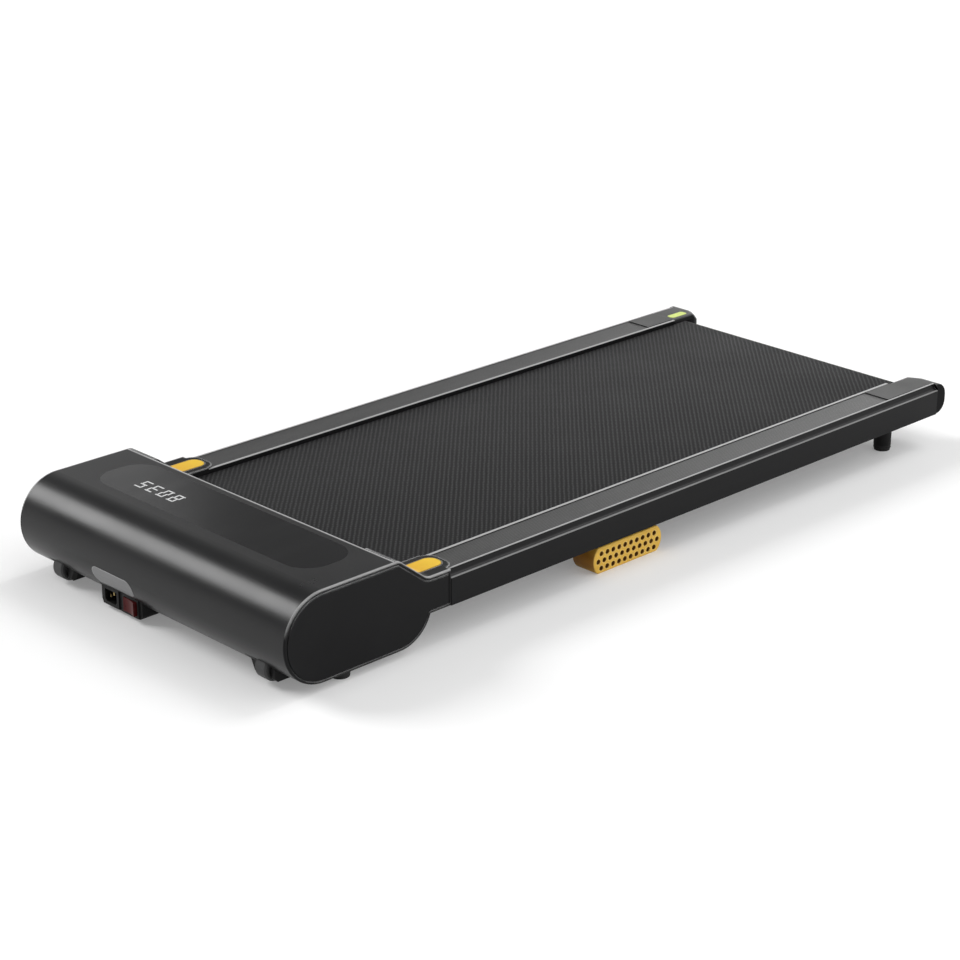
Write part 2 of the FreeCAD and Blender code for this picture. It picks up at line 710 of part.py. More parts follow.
def end_cap():
    """Right end cap: grooved face, hollow shoulder and a round tongue on the rail's lips."""
    face = cap_outline()
    plate = across(face, CAP_INSIDE, SIDE)
    rim = [edge for edge in plate.Edges if edge.BoundBox.YMin > SIDE - SAME_POINT]
    plate = plate.makeFillet(CAP_EDGE, rim)
    groove_out = Part.Face(face.OuterWire.makeOffset2D(-CAP_RIM))
    groove_in = Part.Face(face.OuterWire.makeOffset2D(-CAP_RIM - CAP_GROOVE))
    groove = across(groove_out.cut(groove_in).Faces[0], SIDE - CAP_GROOVE_DEPTH, SIDE + OVERRUN)
    plate = plate.cut(groove)
    skin = shoulder_face(0, RAIL_START).cut(shoulder_face(-SHOULDER_SKIN, RAIL_START)).Faces[0]
    skin = across(skin, RAIL_INSIDE, CAP_INSIDE)
    wall = across(shoulder_face(0, RAIL_START), RAIL_INSIDE, RAIL_INSIDE + SHOULDER_SKIN)
    tongue = rounded(
        plan,
        RAIL_START - SHOULDER_TONGUE_R * 2,
        SHOULDER_END,
        RAIL_INSIDE + SHOULDER_TONGUE_INSET,
        CHANNEL_OUTSIDE + OUTER_LIP,
        SHOULDER_TONGUE_R,
    )
    tongue = upright(tongue, RAIL_TOP, RAIL_TOP + SHOULDER_RISE)
    rim = [edge for edge in tongue.Edges if edge.BoundBox.ZMin > RAIL_TOP + SAME_POINT]
    tongue = tongue.makeChamfer(SHOULDER_TONGUE_EDGE, rim)
    cap = plate.fuse([skin, wall, tongue])
    return cap.cut(inlay_band(-INLAY_DEPTH, OVERRUN)).removeSplitter()


def inlay_band(low, high):
    """Slice of the shoulder's skin under the inlay, between two heights above the surface."""
    inside = RAIL_INSIDE + INLAY_INSET
    end = SHOULDER_END - INLAY_END_GAP
    band = shoulder_face(high, SHOULDER_END).cut(shoulder_face(low, SHOULDER_END)).Faces[0]
    shape = rounded(plan, HOOD_REAR + INLAY_SETBACK, end, inside, inside + INLAY_WIDTH, INLAY_R)
    return across(band, RAIL_INSIDE, SIDE).common(upright(shape, 0, HEIGHT + OVERRUN))


def rail():
    """Right rail: one extruded section, notched at the tail for the rear cap's tongue."""
    lip_bottom = CHANNEL_FLOOR - RAIL_WALL
    cove_turn = math.sqrt(0.5)
    section = outline(
        cross_section,
        (SIDE, RAIL_CLEARANCE),
        (SIDE, RAIL_TOP - COVE_DROP - EDGE_BREAK),
        (SIDE - EDGE_BREAK, RAIL_TOP - COVE_DROP),
        (SIDE - COVE_WIDTH * cove_turn, RAIL_TOP - COVE_DROP * cove_turn, SIDE - COVE_WIDTH, RAIL_TOP),
        (CHANNEL_OUTSIDE, RAIL_TOP),
        (CHANNEL_OUTSIDE, CHANNEL_FLOOR),
        (CHANNEL_INSIDE, CHANNEL_FLOOR),
        (CHANNEL_INSIDE, RAIL_TOP),
        (RAIL_INSIDE, RAIL_TOP),
        (RAIL_INSIDE, RAIL_FOOT),
        (RAIL_INSIDE + RAIL_WALL, RAIL_FOOT),
        (RAIL_INSIDE + RAIL_WALL, lip_bottom),
        (CHANNEL_OUTSIDE, lip_bottom),
        (SIDE - RAIL_WALL, RAIL_TOP - COVE_DROP - RAIL_WALL),
        (SIDE - RAIL_WALL, TUBE_BOTTOM),
        (TUBE_INSIDE, TUBE_BOTTOM),
        (TUBE_INSIDE, RAIL_CLEARANCE),
    )
    body = along(section, RAIL_START, RAIL_END)
    notch = box(
        NOTCH_START,
        RAIL_END + OVERRUN,
        RAIL_INSIDE - OVERRUN,
        NOTCH_SIDE,
        TUBE_TOP,
        RAIL_TOP + OVERRUN,
    )
    body = body.cut(notch)
    for x in rail_screw_places():
        hole = rod_up(SCREW_R, RAIL_CLEARANCE - OVERRUN, TUBE_BOTTOM + OVERRUN, x, rail_screw_side())
        body = body.cut(hole)
    return body


def rail_screw_places():
    reach = BLOCK_LENGTH / 2 + RAIL_SCREW_BLOCK_GAP
    last = TUBE_REAR - RAIL_SCREW_END_GAP
    after_block = BLOCK_X + reach
    return [RAIL_START + RAIL_SCREW_END_GAP, BLOCK_X - reach, after_block, (after_block + last) / 2, last]


def rail_screw_side():
    return TUBE_OUTSIDE - TUBE_WIDTH / 4


def tread_strip():
    return box(
        RAIL_START,
        COVER_START,
        CHANNEL_INSIDE + STRIP_INNER_GAP,
        CHANNEL_OUTSIDE - STRIP_OUTER_GAP,
        CHANNEL_FLOOR,
        CHANNEL_FLOOR + STRIP_THICK,
    )


def rear_cap():
    """Right rear cap: dome with a key hole, tongue on the notched rail and apron in its channel."""
    inset = DOME_R * (1 - math.sqrt(0.5))
    dome = outline(
        side_view,
        (RAIL_END, RAIL_CLEARANCE),
        (TAIL - DOME_R, RAIL_CLEARANCE),
        (TAIL - inset, RAIL_CLEARANCE + inset, TAIL, RAIL_CLEARANCE + DOME_R),
        (TAIL, RAIL_TOP - DOME_R),
        (TAIL - inset, RAIL_TOP - inset, TAIL - DOME_R, RAIL_TOP),
        (RAIL_END, RAIL_TOP),
    )
    dome = across(dome, RAIL_INSIDE, SIDE)
    tongue = box(NOTCH_START, RAIL_END, RAIL_INSIDE, NOTCH_SIDE, RAIL_TOP - TONGUE_DEPTH, RAIL_TOP)
    cover = box(
        NOTCH_START,
        RAIL_END,
        RAIL_INSIDE,
        CHANNEL_OUTSIDE - STRIP_OUTER_GAP,
        CHANNEL_FLOOR,
        RAIL_TOP,
    )
    apron = box(
        COVER_START,
        NOTCH_START,
        CHANNEL_INSIDE + STRIP_INNER_GAP,
        CHANNEL_OUTSIDE - STRIP_OUTER_GAP,
        CHANNEL_FLOOR,
        RAIL_TOP + COVER_PROUD,
    )
    skirt = box(
        NOTCH_START,
        RAIL_END,
        RAIL_INSIDE,
        RAIL_INSIDE + TONGUE_SKIRT,
        RAIL_TOP - TONGUE_SKIRT_DROP,
        RAIL_TOP,
    )
    cap = dome.fuse([tongue, cover, skirt]).removeSplitter()
    corner = box(
        NOTCH_START,
        TAIL,
        RAIL_INSIDE,
        RAIL_INSIDE + TONGUE_ROUND,
        RAIL_TOP - TONGUE_ROUND,
        RAIL_TOP,
    )
    roll = rod_along(TONGUE_ROUND, NOTCH_START, TAIL, RAIL_INSIDE + TONGUE_ROUND, RAIL_TOP - TONGUE_ROUND)
    cap = cap.cut(corner.cut(roll))
    rim = [edge for edge in cap.Edges if edge.BoundBox.YMin > SIDE - SAME_POINT]
    rim = [edge for edge in rim if edge.BoundBox.XMax > RAIL_END + SAME_POINT]
    cap = cap.makeFillet(DOME_EDGE, rim)
    turn = DOME_CORNER * (1 - math.sqrt(0.5))
    rear_corner = outline(
        plan,
        (TAIL - DOME_CORNER, RAIL_INSIDE),
        (TAIL - turn, RAIL_INSIDE + turn, TAIL, RAIL_INSIDE + DOME_CORNER),
        (TAIL + OVERRUN, RAIL_INSIDE + DOME_CORNER),
        (TAIL + OVERRUN, RAIL_INSIDE - OVERRUN),
        (TAIL - DOME_CORNER, RAIL_INSIDE - OVERRUN),
    )
    cap = cap.cut(upright(rear_corner, 0, HEIGHT))
    cap = cap.cut(rod_along(KEY_HOLE_R, RAIL_END - OVERRUN, TAIL + OVERRUN, TAKE_UP_MIDDLE, ROLLER_Z))
    return cap.fuse(apron).removeSplitter()


def lime_slab(bottom, top):
    """Pill-shaped inlay on the right rear cap."""
    end = TAIL - LIME_END_GAP
    inside = RAIL_INSIDE + LIME_INSET
    face = rounded(plan, end - LIME_LENGTH, end, inside, inside + LIME_WIDTH, LIME_WIDTH / 3)
    return upright(face, bottom, top)


def side_tube():
    """Right steel box tube of the frame."""
    tube = box(TUBE_FRONT, TUBE_REAR, TUBE_INSIDE, TUBE_OUTSIDE, TUBE_BOTTOM, TUBE_TOP)
    bore = box(
        TUBE_FRONT - OVERRUN,
        TUBE_REAR + OVERRUN,
        TUBE_INSIDE + TUBE_WALL,
        TUBE_OUTSIDE - TUBE_WALL,
        TUBE_BOTTOM + TUBE_WALL,
        TUBE_TOP - TUBE_WALL,
    )
    tube = tube.cut(bore)
    for x in rail_screw_places():
        tube = tube.cut(rod_up(SCREW_R, TUBE_BOTTOM - OVERRUN, TUBE_BOTTOM + OVERRUN, x, rail_screw_side()))
    for x in deck_support_places():
        tube = tube.cut(rod_up(SCREW_R, TUBE_TOP - OVERRUN, TUBE_TOP + OVERRUN, x, deck_screw_side()))
    return tube


def cross_tubes():
    """Box tubes across the frame, inside the belt's loop."""
    tubes = []
    for x in spread(DECK_FRONT + CROSS_TUBE_END_GAP, DECK_REAR - CROSS_TUBE_END_GAP, CROSS_TUBE_COUNT):
        x0 = x - CROSS_TUBE_WIDTH / 2
        x1 = x + CROSS_TUBE_WIDTH / 2
        low = TUBE_TOP - CROSS_TUBE_HEIGHT
        tube = box(x0, x1, -TUBE_INSIDE, TUBE_INSIDE, low, TUBE_TOP)
        bore = box(
            x0 + TUBE_WALL,
            x1 - TUBE_WALL,
            -TUBE_INSIDE - OVERRUN,
            TUBE_INSIDE + OVERRUN,
            low + TUBE_WALL,
            TUBE_TOP - TUBE_WALL,
        )
        tubes.append(tube.cut(bore))
    return Part.makeCompound(tubes)


def deck_support_places():
    return spread(DECK_FRONT + CROSS_TUBE_END_GAP, DECK_REAR - CROSS_TUBE_END_GAP, CUSHION_COUNT)


def deck_screw_side():
    return TUBE_INSIDE + DECK_BEARING / 2


def deck_board():
    """Board under the belt, with countersunk edges over the side tubes."""
    board = box(DECK_FRONT, DECK_REAR, -DECK_EDGE, DECK_EDGE, DECK_BOTTOM, DECK_TOP)
    for x in deck_support_places():
        seat = rod_up(SCREW_HEAD_R + FIT, DECK_TOP - SCREW_HEAD, DECK_TOP + OVERRUN, x, deck_screw_side())
        hole = rod_up(SCREW_R, DECK_BOTTOM - OVERRUN, DECK_TOP, x, deck_screw_side())
        board = board.cut(pair(seat.fuse(hole)))
    return board


def deck_cushions():
    """Rubber pads between the side tubes and the deck."""
    pads = []
    for x in deck_support_places():
        y = deck_screw_side()
        pad = box(
            x - CUSHION_LENGTH / 2,
            x + CUSHION_LENGTH / 2,
            y - CUSHION_WIDTH / 2,
            y + CUSHION_WIDTH / 2,
            TUBE_TOP,
            DECK_BOTTOM,
        )
        pad = pad.cut(rod_up(SCREW_R, TUBE_TOP - OVERRUN, DECK_BOTTOM + OVERRUN, x, y))
        pads.append(pair(pad))
    return Part.makeCompound(pads)


def deck_screws():
    """Flat-head screws from the deck down into the side tubes."""
    screws = []
    for x in deck_support_places():
        y = deck_screw_side()
        head = rod_up(SCREW_HEAD_R, DECK_TOP - SCREW_HEAD, DECK_TOP, x, y)
        shank = rod_up(SCREW_R, DECK_TOP - SCREW_HEAD - DECK_SCREW_LENGTH, DECK_TOP - SCREW_HEAD, x, y)
        screws.append(pair(head.fuse(shank)))
    return Part.makeCompound(screws)


def rail_screws():
    """Screws up through the rails' lower flanges into the side tubes."""
    screws = []
    for x in rail_screw_places():
        screws.append(pair(screw(x, rail_screw_side(), RAIL_CLEARANCE, TUBE_WALL + RAIL_WALL)))
    return Part.makeCompound(screws)


def running_belt():
    """Endless walking belt round both rollers."""
    inner = ROLLER_R + FIT
    outer = inner + BELT_THICK
    loop = across(belt_face(FRONT_AXIS, ROLLER_Z, outer, REAR_AXIS, ROLLER_Z, outer), -BELT_HALF, BELT_HALF)
    room = across(belt_face(FRONT_AXIS, ROLLER_Z, inner, REAR_AXIS, ROLLER_Z, inner), -BELT_HALF, BELT_HALF)
    return loop.cut(room)


def roller_tube(x):
    tube = rod_across(ROLLER_R, -ROLLER_HALF, ROLLER_HALF, x, ROLLER_Z)
    return tube.cut(rod_across(ROLLER_R - ROLLER_WALL, -ROLLER_HALF, ROLLER_HALF, x, ROLLER_Z))


def roller_bearings(x):
    """Ball bearings pressed into both ends of a roller."""
    start = ROLLER_HALF - BEARING_WIDTH
    ring = rod_across(ROLLER_R - ROLLER_WALL - BEARING_PRESS, start, ROLLER_HALF, x, ROLLER_Z)
    return pair(ring.cut(rod_across(SHAFT_R + RUN_FIT, start, ROLLER_HALF, x, ROLLER_Z)))


def front_roller_shaft():
    return rod_across(SHAFT_R, -FRONT_BRACKET_OUTSIDE, FRONT_BRACKET_OUTSIDE, FRONT_AXIS, ROLLER_Z)


def front_roller_pulley():
    """Ribbed-belt pulley on the roller's left end: rim, web and hub."""
    left = -PULLEY_OUTSIDE
    right = -ROLLER_HALF
    middle = (left + right) / 2
    bore_r = SHAFT_R + PULLEY_BORE_GAP
    pulley = rod_across(PULLEY_R, left, right, FRONT_AXIS, ROLLER_Z)
    hollow = rod_across(PULLEY_R - PULLEY_RIM, left, right, FRONT_AXIS, ROLLER_Z)
    hollow = hollow.cut(rod_across(bore_r + PULLEY_HUB, left, right, FRONT_AXIS, ROLLER_Z))
    hollow = hollow.cut(
        rod_across(PULLEY_R, middle - PULLEY_WEB / 2, middle + PULLEY_WEB / 2, FRONT_AXIS, ROLLER_Z)
    )
    return pulley.cut(hollow).cut(rod_across(bore_r, left, right, FRONT_AXIS, ROLLER_Z))


def front_roller_bracket():
    """Right bracket: a foot against the side tube and an ear round the shaft."""
    foot_top = TUBE_BOTTOM + FRONT_BRACKET_FOOT
    ear_front = FRONT_AXIS - FRONT_BRACKET_EAR
    ear_rear = FRONT_AXIS + FRONT_BRACKET_EAR
    face = outline(
        side_view,
        (ear_front, TUBE_BOTTOM),
        (TUBE_FRONT, TUBE_BOTTOM),
        (TUBE_FRONT, foot_top),
        (ear_rear, foot_top),
        (ear_rear, ROLLER_Z),
        (FRONT_AXIS, ROLLER_Z + FRONT_BRACKET_EAR, ear_front, ROLLER_Z),
    )
    bracket = across(face, FRONT_BRACKET_INSIDE, FRONT_BRACKET_OUTSIDE)
    bore = rod_across(SHAFT_R + RUN_FIT, 0, SIDE, FRONT_AXIS, ROLLER_Z)
    return bracket.cut(bore)


def drive_belt():
    """Ribbed belt from the motor's pulley to the roller's pulley."""
    start = -PULLEY_OUTSIDE + DRIVE_BELT_MARGIN
    end = -ROLLER_HALF - DRIVE_BELT_MARGIN
    faces = []
    for gap in (FIT + DRIVE_BELT_THICK, FIT):
        faces.append(
            belt_face(MOTOR_X, MOTOR_Z, MOTOR_PULLEY_R + gap, FRONT_AXIS, ROLLER_Z, PULLEY_R + gap)
        )
    return across(faces[0], start, end).cut(across(faces[1], start, end))


def rear_roller_shaft():
    """Fixed rear shaft, cross-drilled at both ends for the take-up bolts."""
    end = TAKE_UP_INSIDE + TAKE_UP_WIDTH - TAKE_UP_GAP
    shaft = rod_across(SHAFT_R, -end, end, REAR_AXIS, ROLLER_Z)
    reach = SHAFT_R + OVERRUN
    drill = rod_along(BOLT_R + RUN_FIT, REAR_AXIS - reach, REAR_AXIS + reach, TAKE_UP_MIDDLE, ROLLER_Z)
    return shaft.cut(pair(drill))


def rear_roller_bracket():
    """Right take-up bracket: a block on the side tube's end, slotted for the shaft."""
    block = box(
        TUBE_REAR,
        TAKE_UP_REAR,
        TAKE_UP_INSIDE,
        TAKE_UP_INSIDE + TAKE_UP_WIDTH,
        TUBE_BOTTOM,
        CHANNEL_FLOOR - RAIL_WALL - TAKE_UP_ROOF_GAP,
    )
    reach = SHAFT_R + TAKE_UP_TRAVEL
    slot = box(
        REAR_AXIS - reach,
        REAR_AXIS + reach,
        0,
        SIDE,
        ROLLER_Z - SHAFT_R,
        ROLLER_Z + SHAFT_R,
    )
    drill = rod_along(BOLT_R + RUN_FIT, REAR_AXIS - reach, TAKE_UP_REAR + OVERRUN, TAKE_UP_MIDDLE, ROLLER_Z)
    return block.cut(slot).cut(drill)


def tension_bolt():
    """Right take-up bolt: socket head behind the bracket, shank through the rear shaft."""
    tip = REAR_AXIS - BOLT_TIP
    head_start = TAKE_UP_REAR + RUN_FIT
    bolt = rod_along(BOLT_R, tip, head_start, TAKE_UP_MIDDLE, ROLLER_Z)
    bolt = bolt.fuse(rod_along(BOLT_HEAD_R, head_start, head_start + BOLT_HEAD, TAKE_UP_MIDDLE, ROLLER_Z))
    corners = [Vec(0, *on_circle(0, 0, BOLT_SOCKET_R, math.pi / 3 * turn)) for turn in range(7)]
    socket = Part.Face(Part.makePolygon(corners)).translated(Vec(0, TAKE_UP_MIDDLE, ROLLER_Z))
    end = head_start + BOLT_HEAD
    return bolt.cut(along(socket, end - BOLT_SOCKET_DEPTH, end + OVERRUN))


def motor_can():
    """Motor housing with closed ends, shaft holes and a terminal box at the rear."""
    can = rod_across(MOTOR_R, MOTOR_LEFT, MOTOR_RIGHT, MOTOR_X, MOTOR_Z)
    room_r = MOTOR_R - MOTOR_WALL
    half = TERMINAL_SIZE / 2
    terminal_y = MOTOR_RIGHT - CRADLE_INSET - half
    terminal = box(
        MOTOR_X,
        MOTOR_X + MOTOR_R + TERMINAL_REACH,
        terminal_y - half,
        terminal_y + half,
        MOTOR_Z - half,
        MOTOR_Z + half,
    )
    can = can.fuse(terminal)
    can = can.cut(rod_across(room_r, MOTOR_LEFT + MOTOR_WALL, MOTOR_RIGHT - MOTOR_WALL, MOTOR_X, MOTOR_Z))
    bore = rod_across(
        MOTOR_SHAFT_R + RUN_FIT, MOTOR_LEFT - OVERRUN, MOTOR_RIGHT + OVERRUN, MOTOR_X, MOTOR_Z
    )
    return can.cut(bore)


def motor_shaft():
    left = -PULLEY_OUTSIDE - MOTOR_SHAFT_END
    right = FAN_LEFT + FAN_WIDTH + MOTOR_SHAFT_END
    return rod_across(MOTOR_SHAFT_R, left, right, MOTOR_X, MOTOR_Z)


def motor_armature():
    """Wound core on the shaft, inside the housing."""
    left = MOTOR_LEFT + ARMATURE_MARGIN
    right = MOTOR_RIGHT - ARMATURE_MARGIN
    core = rod_across(ARMATURE_R, left, right, MOTOR_X, MOTOR_Z)
    return core.cut(rod_across(MOTOR_SHAFT_R, left, right, MOTOR_X, MOTOR_Z))


def motor_pulley():
    pulley = rod_across(MOTOR_PULLEY_R, -PULLEY_OUTSIDE, -ROLLER_HALF, MOTOR_X, MOTOR_Z)
    return pulley.cut(rod_across(MOTOR_SHAFT_R, -PULLEY_OUTSIDE, -ROLLER_HALF, MOTOR_X, MOTOR_Z))


def motor_fan():
    """Cooling fan on the shaft's right end: disc, hub and straight blades."""
    right = FAN_LEFT + FAN_WIDTH
    fan = rod_across(FAN_R, FAN_LEFT, FAN_LEFT + FAN_DISC, MOTOR_X, MOTOR_Z)
    fan = fan.fuse(rod_across(FAN_HUB_R, FAN_LEFT, right, MOTOR_X, MOTOR_Z))
    blade = box(0, FAN_R, FAN_LEFT, right, -FAN_BLADE / 2, FAN_BLADE / 2)
    for index in range(FAN_BLADES):
        turned = blade.copy()
        turned.rotate(Vec(0, 0, 0), Vec(0, 1, 0), 360 * index / FAN_BLADES)
        fan = fan.fuse(turned.translated(Vec(MOTOR_X, 0, MOTOR_Z)))
    fan = fan.common(rod_across(FAN_R, FAN_LEFT, right, MOTOR_X, MOTOR_Z))
    return fan.cut(rod_across(MOTOR_SHAFT_R, FAN_LEFT, right, MOTOR_X, MOTOR_Z))


def cradle_spans():
    """Where the two cradle plates lie across the pad."""
    left = MOTOR_LEFT + CRADLE_INSET
    right = MOTOR_RIGHT - CRADLE_INSET - CRADLE_WIDTH
    return ((left, left + CRADLE_WIDTH), (right, right + CRADLE_WIDTH))


def cradle_screw_places():
    places = []
    for y0, y1 in cradle_spans():
        for x in (NOSE_X + CRADLE_BASE / 4, NOSE_X + CRADLE_BASE * 3 / 4):
            places.append((x, (y0 + y1) / 2))
    return places


def motor_cradle():
    """Two saddle plates between the pan and the motor."""
    top = PAN_TOP + CRADLE_HEIGHT
    face = outline(
        side_view,
        (NOSE_X, PAN_TOP),
        (NOSE_X + CRADLE_BASE, PAN_TOP),
        (MOTOR_X + MOTOR_R, top),
        (MOTOR_X - MOTOR_R * 2 / 3, top),
    )
    can = rod_across(MOTOR_R, MOTOR_LEFT, MOTOR_RIGHT, MOTOR_X, MOTOR_Z)
    plates = []
    for y0, y1 in cradle_spans():
        plate = across(face, y0, y1).cut(can)
        for x, y in cradle_screw_places():
            plate = plate.cut(rod_up(SCREW_R, PAN_TOP - OVERRUN, CRADLE_SCREW_TIP, x, y))
        plates.append(plate)
    return Part.makeCompound(plates)


def pan_screws():
    """Screws up through the pan: into the hood's bosses and into the motor's cradle."""
    seat = HOOD_CLEARANCE + SCREW_HEAD
    screws = [pair(screw(x, BOSS_Y, seat, SCREW_LENGTH)) for x in BOSS_XS]
    screws += [screw(x, y, seat, CRADLE_SCREW_TIP - seat) for x, y in cradle_screw_places()]
    return Part.makeCompound(screws)


def controller_board():
    """Circuit board of the motor controller on standoffs."""
    board = box(BOARD_FRONT, BOARD_FRONT + BOARD_DEPTH, BOARD_LEFT, BOARD_RIGHT, BOARD_BOTTOM, BOARD_TOP)
    for x in (BOARD_FRONT + STANDOFF_INSET, BOARD_FRONT + BOARD_DEPTH - STANDOFF_INSET):
        for y in (BOARD_LEFT + STANDOFF_INSET, BOARD_RIGHT - STANDOFF_INSET):
            board = board.fuse(rod_up(STANDOFF_R, PAN_TOP, BOARD_BOTTOM, x, y))
    return board


def controller_heatsink():
    """Finned aluminium heatsink along the board's rear edge."""
    rear = BOARD_FRONT + BOARD_DEPTH
    left = (BOARD_LEFT + BOARD_RIGHT - SINK_LENGTH) / 2
    sink = box(rear - SINK_DEPTH, rear, left, left + SINK_LENGTH, BOARD_TOP, BOARD_TOP + SINK_BASE)
    for x in spread(rear - SINK_DEPTH, rear - SINK_FIN, SINK_FINS):
        sink = sink.fuse(box(x, x + SINK_FIN, left, left + SINK_LENGTH, BOARD_TOP, BOARD_TOP + SINK_HEIGHT))
    return sink.removeSplitter()


def plug_block(x, y):
    half = PLUG_SIZE / 2
    return box(x - half, x + half, y - half, y + half, BOARD_TOP, BOARD_TOP + PLUG_HEIGHT)


def controller_parts():
    """Capacitors, relay and connectors on the board."""
    can_x = BOARD_FRONT + CAN_R + FIT
    can_y = BOARD_LEFT + CAN_END_GAP
    cans = [rod_up(CAN_R, BOARD_TOP, BOARD_TOP + CAN_HEIGHT, can_x, y) for y in (can_y, can_y + CAN_PITCH)]
    relay_x = BOARD_FRONT + STANDOFF_INSET / 2
    relay_y = can_y + CAN_PITCH + CAN_R + RELAY_GAP
    relay = box(
        relay_x,
        relay_x + RELAY_DEPTH,
        relay_y,
        relay_y + RELAY_LENGTH,
        BOARD_TOP,
        BOARD_TOP + RELAY_HEIGHT,
    )
    plug_ys = (BOARD_LEFT + PLUG_SIZE / 2, BOARD_RIGHT - PLUG_SIZE / 2, BOARD_RIGHT - DISPLAY_PLUG_GAP)
    plugs = [plug_block(PLUG_X, y) for y in plug_ys]
    return Part.makeCompound(cans + [relay] + plugs)


def lead(radius, bend, points):
    """Round lead through a list of points, with an arc of one radius at each corner."""
    points = [Vec(*point) for point in points]
    edges = []
    last = points[0]
    for before, corner, after in zip(points, points[1:], points[2:]):
        way_in = (corner - before).normalize()
        way_out = (after - corner).normalize()
        half_turn = way_in.getAngle(way_out) / 2
        reach = bend * math.tan(half_turn)
        start = corner - way_in * reach
        end = corner + way_out * reach
        middle = corner + (way_out - way_in).normalize() * (bend / math.cos(half_turn) - bend)
        edges.append(Part.makeLine(last, start))
        edges.append(Part.Arc(start, middle, end).toShape())
        last = end
    edges.append(Part.makeLine(last, points[-1]))
    ring = Part.Wire(Part.makeCircle(radius, points[0], points[1] - points[0]))
    return Part.Wire(edges).makePipeShell([ring], True, False)


def mains_lead():
    """From the inlet's right side to the board's right connector."""
    x = NOSE_X - MAINS_LEAD_BACK
    y = INLET_OFFSET + INLET_WIDTH / 2
    z = INLET_Z
    end_z = BOARD_TOP + PLUG_HEIGHT / 2
    return lead(
        MAINS_LEAD_R,
        MAINS_LEAD_BEND,
        [
            (x, y, z),
            (x, BOARD_RIGHT + MAINS_LEAD_LOOP, z),
            (PLUG_X, BOARD_RIGHT + MAINS_LEAD_LOOP, end_z),
            (PLUG_X, BOARD_RIGHT, end_z),
        ],
    )


def motor_lead():
    """From the motor's terminal box down to the board's left connector."""
    x = MOTOR_X + MOTOR_R + TERMINAL_REACH
    y = MOTOR_RIGHT - CRADLE_INSET - TERMINAL_SIZE / 2
    end_z = BOARD_TOP + PLUG_HEIGHT / 2
    return lead(
        MOTOR_LEAD_R,
        MOTOR_LEAD_BEND,
        [
            (x, y, MOTOR_Z),
            (PLUG_X, y, MOTOR_Z),
            (PLUG_X, y, end_z),
            (PLUG_X, BOARD_LEFT, end_z),
        ],
    )


def display_lead():
    """From the display's board down to the middle connector."""
    top = DISPLAY_TOP - BOARD_THICK
    bottom = BOARD_TOP + PLUG_HEIGHT
    drop = top - bottom
    y0 = DIGITS_Y - LED_WIDTH / 4
    y1 = BOARD_RIGHT - DISPLAY_PLUG_GAP
    return lead(
        DISPLAY_LEAD_R,
        DISPLAY_LEAD_BEND,
        [
            (PLUG_X, y0, top),
            (PLUG_X, y0, top - drop / 4),
            (PLUG_X, y1 - DISPLAY_LEAD_SWAY, bottom + drop / 2),
            (PLUG_X, y1, bottom + drop / 4),
            (PLUG_X, y1, bottom),
        ],
    )


def inlet_box(front):
    """Envelope of the mains inlet from a front plane to the pan's edge."""
    half = INLET_WIDTH / 2
    return box(front, NOSE_X, INLET_OFFSET - half, INLET_OFFSET + half, INLET_CLEARANCE, INLET_TOP)


def module_box(middle, margin, x0, x1):
    """Box of an inlet module, with a margin round its body."""
    return box(
        x0,
        x1,
        middle - MODULE_WIDTH / 2 - margin,
        middle + MODULE_WIDTH / 2 + margin,
        INLET_Z - MODULE_HEIGHT / 2 - margin,
        INLET_Z + MODULE_HEIGHT / 2 + margin,
    )


def inlet_housing():
    """Moulded box under the nose with a pocket for the socket and one for the switch."""
    housing = inlet_box(INLET_FRONT)
    lower = [edge for edge in housing.Edges if edge.BoundBox.ZMax < INLET_CLEARANCE + SAME_POINT]
    lower = [edge for edge in lower if edge.BoundBox.XMax > INLET_FRONT + SAME_POINT]
    lower = [edge for edge in lower if edge.BoundBox.XMin < NOSE_X - SAME_POINT]
    housing = housing.makeFillet(INLET_ROUND, lower)
    for y in (SOCKET_Y, SWITCH_Y):
        housing = housing.cut(module_box(y, 0, INLET_FRONT - OVERRUN, INLET_FRONT + MODULE_DEPTH))
    return housing


def module_body(middle):
    """Flanged body of a socket or switch."""
    body = module_box(middle, 0, INLET_FRONT, INLET_FRONT + MODULE_DEPTH)
    return body.fuse(module_box(middle, MODULE_MARGIN, MODULE_FRONT, INLET_FRONT)).removeSplitter()


def power_socket():
    """Mains inlet with a cavity chamfered at its lower corners."""
    half = SOCKET_WIDTH / 2
    low = INLET_Z - SOCKET_HEIGHT / 2
    high = INLET_Z + SOCKET_HEIGHT / 2
    mouth = outline(
        cross_section,
        (SOCKET_Y - half, high),
        (SOCKET_Y - half, low + SOCKET_CHAMFER),
        (SOCKET_Y - half + SOCKET_CHAMFER, low),
        (SOCKET_Y + half - SOCKET_CHAMFER, low),
        (SOCKET_Y + half, low + SOCKET_CHAMFER),
        (SOCKET_Y + half, high),
    )
    return module_body(SOCKET_Y).cut(along(mouth, MODULE_FRONT - OVERRUN, MODULE_FRONT + SOCKET_DEPTH))


def socket_blades():
    """Three flat contacts on the cavity's floor."""
    floor = MODULE_FRONT + SOCKET_DEPTH
    blades = []
    for y, rise in ((-BLADE_PITCH / 2, 0), (0, BLADE_RISE), (BLADE_PITCH / 2, 0)):
        middle = INLET_Z - BLADE_RISE / 2 + rise
        blades.append(
            box(
                floor - BLADE_LENGTH,
                floor,
                SOCKET_Y + y - BLADE_WIDTH / 2,
                SOCKET_Y + y + BLADE_WIDTH / 2,
                middle - BLADE_HEIGHT / 2,
                middle + BLADE_HEIGHT / 2,
            )
        )
    return Part.makeCompound(blades)


